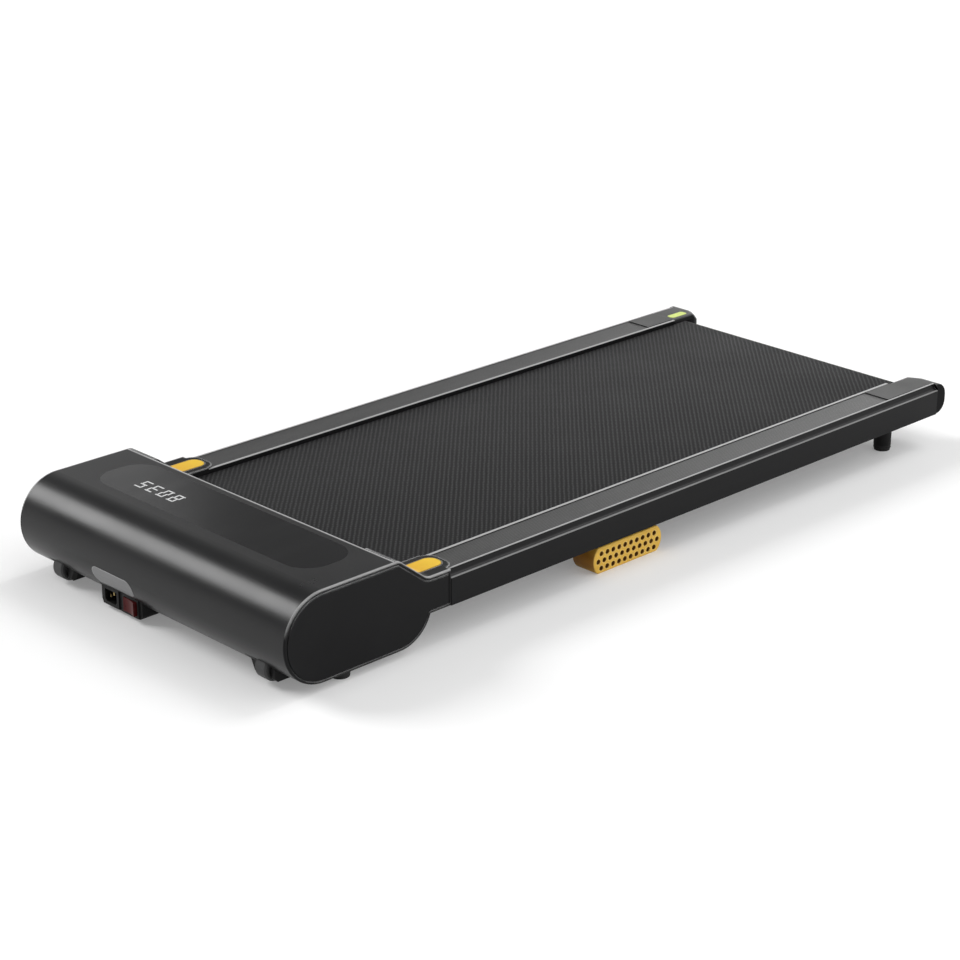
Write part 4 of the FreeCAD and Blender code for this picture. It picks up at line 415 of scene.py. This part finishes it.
# Tread strips: grey vinyl strips laid in the rails' channels for the feet to step on.
# Extruded with fine ribs along their length and a sanded face.
sand_share = 0.6
strip_vinyl, tree, skin = new_finish("strip_vinyl", Specular_IOR_Level=0.42)
place = object_place(tree)
sockets = {"Vector": place, "Scale": 95.0, "Distortion": 0.0}
ribs = node(tree, "TexWave", sockets, bands_direction="Y", wave_profile="SIN").outputs["Fac"]
sand = noise(tree, place, scale=1400.0, detail=4.0, roughness=0.7)
rubbed = noise(tree, mapped(tree, place, Scale=(5.0, 90.0, 1.0)), scale=1.0, detail=4.0)
shades = blend_colours(tree, rubbed, (0.013, 0.013, 0.013), (0.029, 0.029, 0.0285))
specks = remap(tree, sand, start=(0.52, 0.7), to=(0.0, 0.55))
speckled = blend_colours(tree, specks, shades, (0.085, 0.085, 0.084))
relief = maths(tree, "MULTIPLY_ADD", sand, sand_share, ribs)
coat(tree, skin, speckled, shade=sand, rough=(0.32, 0.5), height=relief, depth=0.00014)
dress(strip_vinyl, "tread_strips")

# Rear caps: moulded ends over the rails and the take-up bolts, with the aprons that end the tread strips.
# Black ABS with a fine spark texture, domed at the rear inner corner and rounded along the outer edge.
# The right one carries a lime pill, pressed in.


def overlay(finish, mask, colour):
    tree = finish.node_tree
    base = tree.nodes["Principled BSDF"].inputs["Base Color"]
    tree.links.new(blend_colours(tree, mask, base.links[0].from_socket, colour), base)


tail_abs = grained(
    "tail_abs", (0.004, 0.004, 0.0045), (0.008, 0.008, 0.0085), (0.34, 0.46), fine=1100.0, depth=0.00005,
    wear_and_highlight_colour=(0.16, 0.16, 0.16), width=0.002, reach=5.0, upward=1.0, Specular_IOR_Level=0.04,
)
# The edge colour on the upward rims is a painted highlight, and upward faces are painted lighter, a painted
# sheen from the light above.
tree = tail_abs.node_tree
upper = remap(tree, axis(tree, facing(tree), "Z"), start=(0.75, 0.95))
sand = noise(tree, object_place(tree), scale=1400.0, detail=4.0)
overlay(tail_abs, upper, blend_colours(tree, sand, (0.05, 0.05, 0.05), (0.12, 0.12, 0.119)))

tail_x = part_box("right_rear_cap")[1].x
rail_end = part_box("right_rail")[1].x
cap_inside, cap_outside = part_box("right_rail")[0].y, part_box("right_rail")[1].y
dome_axes = Vector((0.017, 0.027, 0.024))
dome_middle = Vector((tail_x - dome_axes.x, cap_inside + dome_axes.y, rail_top - dome_axes.z))
dome_reach = 0.012
dome_start = Vector((dome_middle.x - dome_reach, cap_inside, rail_top))
tongue_corner = Vector((rail_end + 0.0008, cap_inside + 0.002, rail_top - 0.0065))
dome_turns = [math.radians(9 + 7 * step) for step in range(11)]
shoulder_r = 0.008
shoulder_turns = [math.radians(15 + 12 * step) for step in range(6)]
form_size = 0.5
cap_merge = 0.00001
flat_within = math.radians(0.5)

cap_cuts = []
for rise in dome_turns:
    for swing in dome_turns:
        slope = Vector((math.cos(rise) * math.cos(swing), -math.cos(rise) * math.sin(swing), math.sin(rise)))
        normal = Vector(share / reach for share, reach in zip(slope, dome_axes))
        depth = max(1.0, *(normal.dot(point - dome_middle) for point in (dome_start, tongue_corner)))
        cap_cuts.append((dome_middle + normal * (depth / normal.length_squared), normal.normalized()))
for rise in shoulder_turns:
    normal = Vector((0, math.cos(rise), math.sin(rise)))
    shoulder = Vector((0, cap_outside - shoulder_r, rail_top - shoulder_r)) + normal * shoulder_r
    cap_cuts.append((shoulder, normal))


def domed_cap(name, node_name, side):
    bpy.ops.object.select_all(action="DESELECT")
    bpy.ops.mesh.primitive_cube_add(size=form_size, location=(tail_x, cap_outside * side, rail_top))
    form = start_piece(f"{name}_form")
    for place, normal in cap_cuts:
        bpy.ops.mesh.select_all(action="SELECT")
        bpy.ops.mesh.bisect(
            plane_co=(place.x, place.y * side, place.z), plane_no=(normal.x, normal.y * side, normal.z),
            use_fill=True, clear_outer=True,
        )
    face_outward()
    bpy.ops.object.mode_set(mode="OBJECT")
    cap = bpy.data.objects.new(name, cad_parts[node_name].data.copy())
    bpy.context.scene.collection.objects.link(cap)
    make_active(cap)
    start_piece(name)
    bpy.ops.mesh.select_all(action="SELECT")
    bpy.ops.mesh.remove_doubles(threshold=cap_merge)
    bpy.ops.mesh.dissolve_limited(angle_limit=flat_within)
    apply_modifier(cap, "BOOLEAN", operation="INTERSECT", object=form, solver="EXACT")
    bpy.data.objects.remove(form)
    return cap


for hand, side in (("left", -1), ("right", 1)):
    cap = domed_cap(f"{hand}_tail_cap", f"{hand}_rear_cap", side)
    finish_piece(cap, tail_abs, "pad_body", "tail_black", f"{hand}_rear_cap")
    apply_modifier(cap, "WEIGHTED_NORMAL", keep_sharp=True, weight=100)
lime_abs = grained(
    "lime_abs", (0.5, 0.62, 0.08), (0.66, 0.76, 0.16), (0.32, 0.45), fine=900.0, broad=120.0, depth=0.00003,
    wear_and_highlight_colour=(0.8, 0.86, 0.4), width=0.0006, Specular_IOR_Level=0.4,
)
dress(lime_abs, "lime_inlay")

# Base pan: the hood's floor, with pillars for the frame, screw seats and vents.
# Injection moulded in black polypropylene with a dull face.
pan_plastic = grained(
    "pan_plastic", (0.01, 0.01, 0.0105), (0.018, 0.018, 0.0185), (0.55, 0.7), fine=800.0, depth=0.00007,
    wear_and_highlight_colour=(0.05, 0.05, 0.05), Specular_IOR_Level=0.3,
)
dress(pan_plastic, "base_pan")

# Motor: a permanent-magnet machine in a painted can, held by a saddle on the pan.
# The laminated armature turns inside it, with a cooling fan on the tail of the shaft.
motor_paint = grained(
    "motor_paint", (0.05, 0.051, 0.053), (0.085, 0.086, 0.088), (0.35, 0.5), fine=500.0, depth=0.00008,
    wear_and_highlight_colour=(0.3, 0.3, 0.3), Specular_IOR_Level=0.5,
)
dress(motor_paint, "motor_can", "motor_cradle")
laminations, tree, skin = new_finish("laminations", Metallic=0.8)
sockets = {"Vector": object_place(tree), "Scale": 330.0, "Distortion": 0.2}
sheets = node(tree, "TexWave", sockets, bands_direction="Y").outputs["Fac"]
stacked = blend_colours(tree, sheets, (0.1, 0.09, 0.085), (0.3, 0.28, 0.26))
coat(tree, skin, stacked, shade=sheets, rough=(0.6, 0.4), height=sheets, depth=0.0001)
dress(laminations, "motor_armature")
dress(pan_plastic, "motor_fan")

# Controller: a circuit board on the pan with a finned heat sink, capacitors, a relay and its plugs.
# Green solder mask over copper tracks; the sink is plain extruded aluminium.
solder_mask, tree, skin = new_finish("solder_mask", Specular_IOR_Level=0.5)
place = object_place(tree)
sockets = {"Vector": place, "Scale": 90.0, "Mortar Size": 0.03, "Brick Width": 0.7}
tracks = node(tree, "TexBrick", sockets).outputs["Fac"]
smudge = noise(tree, place, scale=60.0, detail=4.0)
mask_green = blend_colours(tree, smudge, (0.006, 0.06, 0.025), (0.012, 0.1, 0.04))
tracked = blend_colours(tree, tracks, mask_green, (0.05, 0.16, 0.06))
coat(tree, skin, tracked, shade=smudge, rough=(0.25, 0.4), height=tracks, depth=0.00004)
dress(solder_mask, "controller_board", "display_module")
sink_metal = grained(
    "sink_metal", (0.5, 0.5, 0.51), (0.66, 0.66, 0.66), (0.32, 0.5), fine=700.0, broad=40.0, depth=0.00003,
    wear_and_highlight_colour=(0.8, 0.8, 0.8), Metallic=1.0,
)
dress(sink_metal, "controller_heatsink")
component_case = grained(
    "component_case", (0.012, 0.012, 0.014), (0.03, 0.03, 0.034), (0.3, 0.5), fine=700.0, broad=90.0,
    wear_and_highlight_colour=(0.08, 0.08, 0.08), Specular_IOR_Level=0.5,
)
dress(component_case, "controller_parts")
lead_jacket = grained(
    "lead_jacket", (0.014, 0.014, 0.014), (0.022, 0.022, 0.022), (0.45, 0.6), fine=700.0, depth=0.00004,
    wear_and_highlight_colour=(0.03, 0.03, 0.03), Specular_IOR_Level=0.35,
)
dress(lead_jacket, "mains_lead", "motor_lead", "display_lead")

# Hood cover: the shell over the motor, one moulding from its rear lip over the top to the nose.
# Black ABS with a fine satin texture, screwed to the pan from below; a light band along its rear lip is a
# painted highlight.
hood_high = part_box("hood_cover")[1]
rim_width = 0.0045
rim_full = rim_width * 0.6
hood_abs = grained(
    "hood_abs", (0.0075, 0.0075, 0.008), (0.0105, 0.0105, 0.011), (0.27, 0.34), fine=1500.0, broad=6.0,
    depth=0.000016, Specular_IOR_Level=0.28,
)
tree = hood_abs.node_tree
place = object_place(tree)
# A light band along the rear top edge is a painted highlight, mottled by noise.
near = remap(tree, axis(tree, place, "X"), start=(hood_high.x - rim_width, hood_high.x - rim_full))
high = remap(tree, axis(tree, place, "Z"), start=(hood_high.z - rim_width, hood_high.z - rim_full))
highlight_mottle = noise(tree, place, scale=50.0, detail=4.0)
painted_rim_highlight = blend_colours(tree, highlight_mottle, (0.3, 0.3, 0.3), (0.52, 0.52, 0.52))
overlay(hood_abs, maths(tree, "MULTIPLY", near, high), painted_rim_highlight)
dress(hood_abs, "hood_cover")

# Display window: a smoked acrylic lozenge, flush in the hood's top over the lit digits.
# Cast sheet, cut and glued in; polished, with faint wiping marks.
window_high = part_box("display_window")[1]
smoked_acrylic, tree, skin = new_finish("smoked_acrylic", Specular_IOR_Level=0.22, IOR=1.49)
wipes = mapped(tree, object_place(tree), Rotation=(0.0, 0.0, 0.5), Scale=(6.0, 40.0, 6.0))
haze = noise(tree, wipes, scale=1.0, detail=5.0)
smoke = blend_colours(tree, haze, (0.006, 0.006, 0.0064), (0.009, 0.009, 0.0095))
coat(tree, skin, smoke, shade=haze, rough=(0.1, 0.2))
dress(smoked_acrylic, "display_window")

# Lit digits: four seven-segment figures that shine through the window, read from the belt.
# Each segment is one light bar; a set of plain numbers stands for the walker's figures.
digit_height = 0.0208
digit_width = 0.0118
digit_pitch = 0.0216
digit_lean = 0.12
segment_width = 0.0022
segment_height = 0.0002
bar_length = digit_width - segment_width * 0.55
upright_share = 0.97
tip_inset = 0.00005
tip_width = 0.12
tip_reach = segment_width * 0.42
squarely = 0.9
digit_rows = {"8": "abcdefg", "0": "abcdef", "3": "abcdg", "5": "acdfg"}
digits_shown = "8035"
digits_x = (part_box("display_module")[0].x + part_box("display_module")[1].x) / 2
digits_y = (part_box("display_module")[0].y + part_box("display_module")[1].y) / 2


def own_copy(piece, name):
    twin = piece.copy()
    twin.data = piece.data.copy()
    twin.name = name
    twin.data.name = name
    bpy.context.scene.collection.objects.link(twin)
    return twin


def joined(pieces):
    bpy.ops.object.select_all(action="DESELECT")
    for piece in pieces:
        piece.select_set(True)
    bpy.context.view_layer.objects.active = pieces[0]
    bpy.ops.object.transform_apply(location=True, rotation=True, scale=True)
    bpy.ops.object.join()
    return bpy.context.object


bpy.ops.object.select_all(action="DESELECT")
bpy.ops.mesh.primitive_cube_add(size=1.0)
bpy.context.object.scale = (segment_width, bar_length, segment_height)
bpy.ops.object.transform_apply(location=True, rotation=True, scale=True)
light_bar = start_piece("light_bar")
pick(light_bar, lambda face: abs(face.normal.y) > squarely, "FACE")
bpy.ops.mesh.inset(thickness=tip_inset)
bpy.ops.transform.resize(value=(tip_width, 1.0, 1.0))
for side in (1, -1):
    pick(light_bar, lambda face: face.normal.y * side > squarely and abs(face.center.x) < hair, "FACE")
    bpy.ops.transform.translate(value=(0, tip_reach * side, 0))
bpy.ops.object.mode_set(mode="OBJECT")
half = digit_height / 2 - segment_width / 2
side = digit_width / 2 - segment_width / 2
segment_places = {
    "a": (-half, 0, 0), "g": (0, 0, 0), "d": (half, 0, 0),
    "f": (-half / 2, -side, 1), "b": (-half / 2, side, 1),
    "e": (half / 2, -side, 1), "c": (half / 2, side, 1),
}
bars = []
for index, figure in enumerate(digits_shown):
    middle = digits_y + (index - (len(digits_shown) - 1) / 2) * digit_pitch
    for letter in digit_rows[figure]:
        x, y, upright = segment_places[letter]
        bar = own_copy(light_bar, "light_bar")
        bar.location = (digits_x + x, middle + y - x * digit_lean, window_high.z + segment_height / 2)
        bar.rotation_euler = (0, 0, math.pi / 2 + digit_lean if upright else 0)
        bar.scale = (1.0, half / bar_length * upright_share if upright else 1.0, 1.0)
        bars.append(bar)
bpy.data.objects.remove(light_bar)
digits = joined(bars)
digits.name = "lit_digits"
digits.data.name = "lit_digits"
digit_light, tree, skin = new_finish("digit_light", Roughness=0.4, Emission_Strength=0.36)
glow = noise(tree, object_place(tree), scale=260.0, detail=2.0)
shine = blend_colours(tree, glow, (0.62, 0.64, 0.66), (1.0, 1.0, 1.0))
frosted = blend_colours(tree, glow, (0.28, 0.28, 0.28), (0.42, 0.42, 0.42))
tree.links.new(shine, skin.inputs["Emission Color"])
tree.links.new(frosted, skin.inputs["Base Color"])
finish_piece(digits, digit_light, "pad_body", "smoked_window")

# End caps: the hood's end faces, drawn out into the shoulders that run down to the rails.
# Black ABS, duller than the hood, with rounded rims whose upper edges carry painted highlights.
cap_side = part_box("right_end_cap")[1].y
rim_width = 0.0034
rim_full = rim_width * 0.8
cap_abs = grained(
    "cap_abs", (0.0045, 0.0045, 0.005), (0.0075, 0.0075, 0.008), (0.42, 0.55), fine=1300.0, broad=9.0,
    depth=0.00003, wear_and_highlight_colour=(0.5, 0.5, 0.5), width=0.004, reach=14.0, upward=1.0, Specular_IOR_Level=0.12,
)
tree = cap_abs.node_tree
place = object_place(tree)
# The upward rims and a band along the outer upper edge are painted light: painted highlights, mottled by
# noise.
aside = maths(tree, "ABSOLUTE", axis(tree, place, "Y"))
outer = remap(tree, aside, start=(cap_side - rim_width, cap_side - rim_full))
upper = remap(tree, axis(tree, facing(tree), "Z"), start=(0.25, 0.65))
highlight_mottle = noise(tree, place, scale=50.0, detail=4.0)
painted_rim_highlight = blend_colours(tree, highlight_mottle, (0.22, 0.22, 0.22), (0.42, 0.42, 0.42))
overlay(cap_abs, maths(tree, "MULTIPLY", outer, upper), painted_rim_highlight)
dress(cap_abs, "left_end_cap", "right_end_cap")

# Shoulder inlays: yellow plates set into the shoulders, standing a hair proud.
# Moulded polycarbonate with a satin face, a little deeper in colour towards the hood.
inlay_low, inlay_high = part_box("shoulder_inlays")
inlay_plastic, tree, skin = new_finish("inlay_plastic", Specular_IOR_Level=0.18)
place = object_place(tree)
fade = remap(tree, axis(tree, place, "X"), start=(inlay_low.x, inlay_high.x))
cloud = noise(tree, place, scale=120.0, detail=4.0)
deep = blend_colours(tree, cloud, (0.58, 0.27, 0.012), (0.68, 0.34, 0.02))
pale = blend_colours(tree, cloud, (0.74, 0.47, 0.02), (0.82, 0.56, 0.035))
yellow = blend_colours(tree, fade, deep, pale)
# The dark brown along the edges is painted shade, where the recess around the inlay falls dark.
edged = blend_colours(tree, edge_wear_and_light_mask(tree, width=0.003, reach=5.0), yellow, (0.3, 0.15, 0.01))
fine = noise(tree, place, scale=1500.0, detail=2.0)
coat(tree, skin, edged, shade=cloud, rough=(0.3, 0.42), height=fine, depth=0.00003)
dress(inlay_plastic, "shoulder_inlays")

# Nose plate: a bare silver plate with round ends, glued into a recess of the nose above the inlet.
# Aluminium, brushed along its length and clear anodised.
brushed_plate, tree, skin = new_finish("brushed_plate", Metallic=0.85)
strokes = mapped(tree, object_place(tree), Scale=(900.0, 14.0, 2400.0))
brush = noise(tree, strokes, scale=1.0, detail=4.0)
brushed = blend_colours(tree, brush, (0.18, 0.18, 0.182), (0.33, 0.33, 0.334))
# The light rim along the plate's edges is a painted highlight.
rimmed = blend_colours(tree, edge_wear_and_light_mask(tree, width=0.0022, reach=6.0), brushed, (0.62, 0.62, 0.625))
coat(tree, skin, rimmed, shade=brush, rough=(0.32, 0.5), height=brush, depth=0.00003)
dress(brushed_plate, "nose_plate")

# Mains inlet: a black box under the nose with a three-blade socket and a rocker switch side by side.
# Glass-filled nylon, a red rocker on its pin, and brass blades.
inlet_nylon = grained(
    "inlet_nylon", (0.005, 0.005, 0.005), (0.009, 0.009, 0.009), (0.45, 0.6), fine=900.0, depth=0.00006,
    wear_and_highlight_colour=(0.05, 0.05, 0.05), Specular_IOR_Level=0.25,
)
dress(inlet_nylon, "inlet_housing", "power_socket", "switch_bezel")
rocker_red = grained(
    "rocker_red", (0.055, 0.003, 0.003), (0.09, 0.005, 0.005), (0.25, 0.4), fine=900.0, broad=150.0,
    depth=0.00003, wear_and_highlight_colour=(0.16, 0.02, 0.02), width=0.0006, Specular_IOR_Level=0.15,
)
dress(rocker_red, "power_switch")
blade_brass = grained(
    "blade_brass", (0.55, 0.4, 0.16), (0.72, 0.56, 0.26), (0.25, 0.4), fine=1200.0, broad=200.0,
    depth=0.00002, wear_and_highlight_colour=(0.85, 0.72, 0.42), width=0.0003, Metallic=1.0,
)
dress(blade_brass, "socket_blades")

# Transport wheels: two small wheels in forks under the nose, to roll the pad with its tail lifted.
# Hard black nylon with a dull tread; the forks are moulded black nylon.
wheel_nylon = grained(
    "wheel_nylon", (0.03, 0.03, 0.031), (0.05, 0.05, 0.051), (0.4, 0.55), fine=700.0, broad=60.0,
    depth=0.00008, wear_and_highlight_colour=(0.1, 0.1, 0.1), width=0.0012, Specular_IOR_Level=0.4,
)
dress(wheel_nylon, "left_wheel", "right_wheel")
dress(inlet_nylon, "wheel_forks")

# Rear legs: short moulded posts below the tail that carry the rear feet, screwed up into the frame.
# The same black nylon as the forks, with a duller face.
leg_nylon = grained(
    "leg_nylon", (0.004, 0.004, 0.0042), (0.0075, 0.0075, 0.0078), (0.5, 0.65), fine=800.0, depth=0.00006,
    wear_and_highlight_colour=(0.03, 0.03, 0.03), Specular_IOR_Level=0.15,
)
dress(leg_nylon, "rear_legs")

# Feet: round rubber pads under the hood and under the rear legs, with grip rings and a screw well.
# Moulded black rubber, pressed on from below. Each step is a drop and a share of the last radius.
foot_sides = 40
foot_edge = 0.0004
grip = ((0.0018, 0.93), (0.0008, 1.075), (0.0016, 1.0), (0.0006, 0.94))
well = ((0.0, 0.82), (-0.0009, 0.98), (0.0, 0.8), (0.0009, 0.98), (0.0, 0.62), (-0.003, 0.9))
stem_taper = 0.97


def turned_foot(name, radius, height, middle, rings):
    top = (*middle, height)
    bpy.ops.object.select_all(action="DESELECT")
    bpy.ops.mesh.primitive_circle_add(vertices=foot_sides, radius=radius, fill_type="NGON", location=top)
    foot = start_piece(name)
    bpy.ops.mesh.select_all(action="SELECT")
    for drop, share in rings:
        bpy.ops.mesh.extrude_region_move(TRANSFORM_OT_translate={"value": (0, 0, -drop)})
        bpy.ops.transform.resize(value=(share, share, 1.0), center_override=top)
    face_outward()
    round_edges(foot, foot_edge, segments=2, sharper_than=35)
    return foot


for end in ("front", "rear"):
    foot_low, foot_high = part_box(f"{end}_feet")
    foot_r = (foot_high.x - foot_low.x) / 2
    middle = ((foot_low.x + foot_high.x) / 2, foot_high.y - foot_r)
    stem = foot_high.z - sum(drop for drop, share in grip)
    rings = grip + ((stem, stem_taper),) + well
    foot = turned_foot(f"{end}_foot_right", foot_r, foot_high.z, middle, rings)
    twin = own_copy(foot, f"{end}_foot_left")
    twin.location.y = -middle[1]
    for piece in (foot, twin):
        finish_piece(piece, soft_rubber, "pad_body", "black_rubber", f"{end}_feet")

# Shock blocks: yellow bars under the middle of the rails that cushion the pad on the floor.
# Cast polyurethane with bowed ends and three staggered rows of through holes, held by plates above.
block_low, block_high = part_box("shock_blocks")
block_depth = 0.038
block_bulge = 0.009
block_edge = 0.0018
bow_steps = 12
block_middle = (block_low.x + block_high.x) / 2
block_flat = (block_high.x - block_low.x) / 2 - block_bulge
block_top = block_high.z
block_face = block_high.y - block_depth
block_round = ((block_top / 2) ** 2 + block_bulge**2) / (2 * block_bulge)
block_turn = 2 * math.asin(block_top / 2 / block_round)
elastomer, tree, skin = new_finish("yellow_elastomer_cast", Specular_IOR_Level=0.35)
place = object_place(tree)
cloud = noise(tree, place, scale=70.0, detail=5.0, roughness=0.6)
cells = noise(tree, place, scale=1100.0, detail=3.0)
face_cast = blend_colours(tree, cloud, (0.68, 0.37, 0.035), (0.84, 0.54, 0.085))
# The end faces are painted darker orange-brown: painted shade on the ends turned from the light.
painted_end_shade = blend_colours(tree, cloud, (0.3, 0.12, 0.012), (0.42, 0.19, 0.02))
endward = maths(tree, "ABSOLUTE", axis(tree, facing(tree), "X"))
cast = blend_colours(tree, remap(tree, endward, start=(0.55, 0.95)), face_cast, painted_end_shade)
rims = blend_colours(tree, edge_wear_and_light_mask(tree, width=0.0022, reach=5.0), cast, (0.88, 0.72, 0.3))
# The hole walls are painted dark brown: painted shade inside the holes.
inside = node(tree, "Attribute", attribute_name="hole_wall").outputs["Fac"]
shaded = blend_colours(tree, inside, rims, (0.14, 0.06, 0.01))
coat(tree, skin, shaded, shade=cloud, rough=(0.42, 0.6), height=cells, depth=0.00008)

bpy.ops.object.select_all(action="DESELECT")
bpy.ops.mesh.primitive_plane_add(size=1.0, rotation=(math.pi / 2, 0, 0))
bpy.context.object.scale = (block_flat * 2, block_top, 1.0)
bpy.context.object.location = (block_middle, block_face, block_top / 2)
bpy.ops.object.transform_apply(location=True, rotation=True, scale=True)
block = start_piece("right_shock_bar")
bpy.ops.mesh.select_all(action="SELECT")
bpy.ops.mesh.delete(type="ONLY_FACE")
for side, level in ((1, 0), (-1, block_top)):
    pick(block, lambda co: side * (co.x - block_middle) > block_flat - hair and abs(co.z - level) < hair)
    centre = (block_middle + side * (block_flat + block_bulge - block_round), block_face, block_top / 2)
    bpy.ops.mesh.spin(steps=bow_steps, angle=block_turn, center=centre, axis=(0, 1, 0))
    pick(block, lambda co: abs(side * (co.x - block_middle) - block_flat) < hair, "EDGE")
    bpy.ops.mesh.delete(type="EDGE")
bpy.ops.mesh.select_mode(type="VERT")
bpy.ops.mesh.select_all(action="SELECT")
bpy.ops.mesh.remove_doubles(threshold=merge_reach)
bpy.ops.mesh.edge_face_add()
bpy.ops.mesh.extrude_region_move(TRANSFORM_OT_translate={"value": (0, block_depth, 0)})
face_outward()
round_edges(block, block_edge, segments=3, sharper_than=40)

hole_r = 0.0033
hole_sides = 16
hole_flare = 1.3
flare_depth = 0.0016
hole_rows = (10, 11, 10)
hole_pitch = block_flat * 2 / 10
row_pitch = block_top * 0.275
row_middle = block_top / 2 - 0.001
wall_within = hole_r * 1.02
wall_slope = 0.5
bpy.ops.object.select_all(action="DESELECT")
bpy.ops.mesh.primitive_circle_add(
    vertices=hole_sides, radius=hole_r * hole_flare, fill_type="NGON", rotation=(math.pi / 2, 0, 0),
    location=(0, block_face - flare_depth / 2, 0),
)
bpy.ops.object.transform_apply(location=True, rotation=True, scale=True)
drill = start_piece("drill")
bpy.ops.mesh.select_all(action="SELECT")
for step, share in (
    (flare_depth, 1 / hole_flare), (block_depth - flare_depth, 1.0), (flare_depth, hole_flare),
):
    bpy.ops.mesh.extrude_region_move(TRANSFORM_OT_translate={"value": (0, step, 0)})
    bpy.ops.transform.resize(value=(share, 1.0, share), center_override=(0, 0, 0))
face_outward()
bpy.ops.object.mode_set(mode="OBJECT")
drills = []
hole_places = []
for row, count in enumerate(hole_rows):
    for index in range(count):
        bit = own_copy(drill, "drill")
        bit.location.x = block_middle + (index - (count - 1) / 2) * hole_pitch
        bit.location.z = row_middle + (1 - row) * row_pitch
        hole_places.append(bit.location.copy())
        drills.append(bit)
bpy.data.objects.remove(drill)
all_drills = joined(drills)
apply_modifier(block, "BOOLEAN", operation="DIFFERENCE", object=all_drills, solver="EXACT")
bpy.data.objects.remove(all_drills)
hole_wall = block.data.attributes.new("hole_wall", "FLOAT", "FACE")
for face in block.data.polygons:
    away = min(math.hypot(face.center.x - hole.x, face.center.z - hole.z) for hole in hole_places)
    in_hole = away < wall_within and abs(face.normal.y) < wall_slope
    hole_wall.data[face.index].value = 1.0 if in_hole else 0.0
left_block = own_copy(block, "left_shock_bar")
finish_piece(block, elastomer, "pad_body", "yellow_elastomer", "shock_blocks")
make_active(left_block)
bpy.ops.object.mode_set(mode="EDIT")
bpy.ops.mesh.select_all(action="SELECT")
bpy.ops.transform.resize(value=(1.0, -1.0, 1.0), center_override=(0, 0, 0))
bpy.ops.mesh.flip_normals()
finish_piece(left_block, elastomer, "pad_body", "yellow_elastomer", "shock_blocks")

# Studio: a pale floor under soft light, and a camera where the pad was pictured from.
# The floor is a plain sheet, and the pad stands on it.
floor_size = 40.0
floor_lift = 0.2
bpy.ops.object.select_all(action="DESELECT")
bpy.ops.mesh.primitive_plane_add(size=floor_size, location=(0, 0, 0))
floor = bpy.context.object
floor.name = "studio_floor"
floor_white, tree, skin = new_finish("floor_white", Roughness=0.9, Specular_IOR_Level=0.1)
skin.inputs["Base Color"].default_value = (0.78, 0.78, 0.78, 1.0)
skin.inputs["Emission Color"].default_value = (1.0, 1.0, 1.0, 1.0)
seen = node(tree, "LightPath").outputs
sharp = maths(tree, "MAXIMUM", seen["Is Camera Ray"], seen["Is Glossy Ray"])
clear = maths(tree, "MAXIMUM", sharp, seen["Is Transmission Ray"])
tree.links.new(maths(tree, "MULTIPLY", clear, floor_lift), skin.inputs["Emission Strength"])
floor.data.materials.append(floor_white)


def soft_light(name, towards, spread, strength):
    lamp = bpy.data.lights.new(name, "SUN")
    lamp.energy = strength
    lamp.angle = math.radians(spread)
    light = bpy.data.objects.new(name, lamp)
    bpy.context.scene.collection.objects.link(light)
    light.rotation_euler = (-Vector(towards)).to_track_quat("-Z", "Y").to_euler()


soft_light("far_softbox", (-0.33, 0.745, 0.57), spread=27, strength=1.9)
soft_light("rim_softbox", (0.646, 0.017, 0.763), spread=24, strength=0.8)
soft_light("back_softbox", (0.824, 0.476, 0.309), spread=26, strength=0.34)
soft_light("side_softbox", (0.451, 0.814, 0.366), spread=15, strength=0.036)
soft_light("near_fill", (0.62, -0.7, 0.36), spread=100, strength=2.1)

sky_band = (0.13, 0.23)
sky_strength = (1.0, 0.26)
world = bpy.data.worlds.new("studio")
bpy.context.scene.world = world
world.use_nodes = True
tree = world.node_tree
sky = tree.nodes["Background"]
sky.inputs["Color"].default_value = (1.0, 1.0, 1.0, 1.0)
rise = axis(tree, node(tree, "TexCoord").outputs["Generated"], "Z")
tree.links.new(remap(tree, rise, start=sky_band, to=sky_strength), sky.inputs["Strength"])
bpy.context.scene.view_settings.view_transform = "Standard"

heading = math.radians(46)
pitch = math.radians(21.52)
camera_place = (-2.238, -2.252, 1.284)
ahead = Vector((math.cos(heading) * math.cos(pitch), math.sin(heading) * math.cos(pitch), -math.sin(pitch)))
camera_data = bpy.data.cameras.new("studio_camera")
camera_data.sensor_width = 36
camera_data.lens = 94.2
camera = bpy.data.objects.new("studio_camera", camera_data)
bpy.context.scene.collection.objects.link(camera)
camera.location = camera_place
camera.rotation_euler = ahead.to_track_quat("-Z", "Y").to_euler()
bpy.context.scene.camera = camera
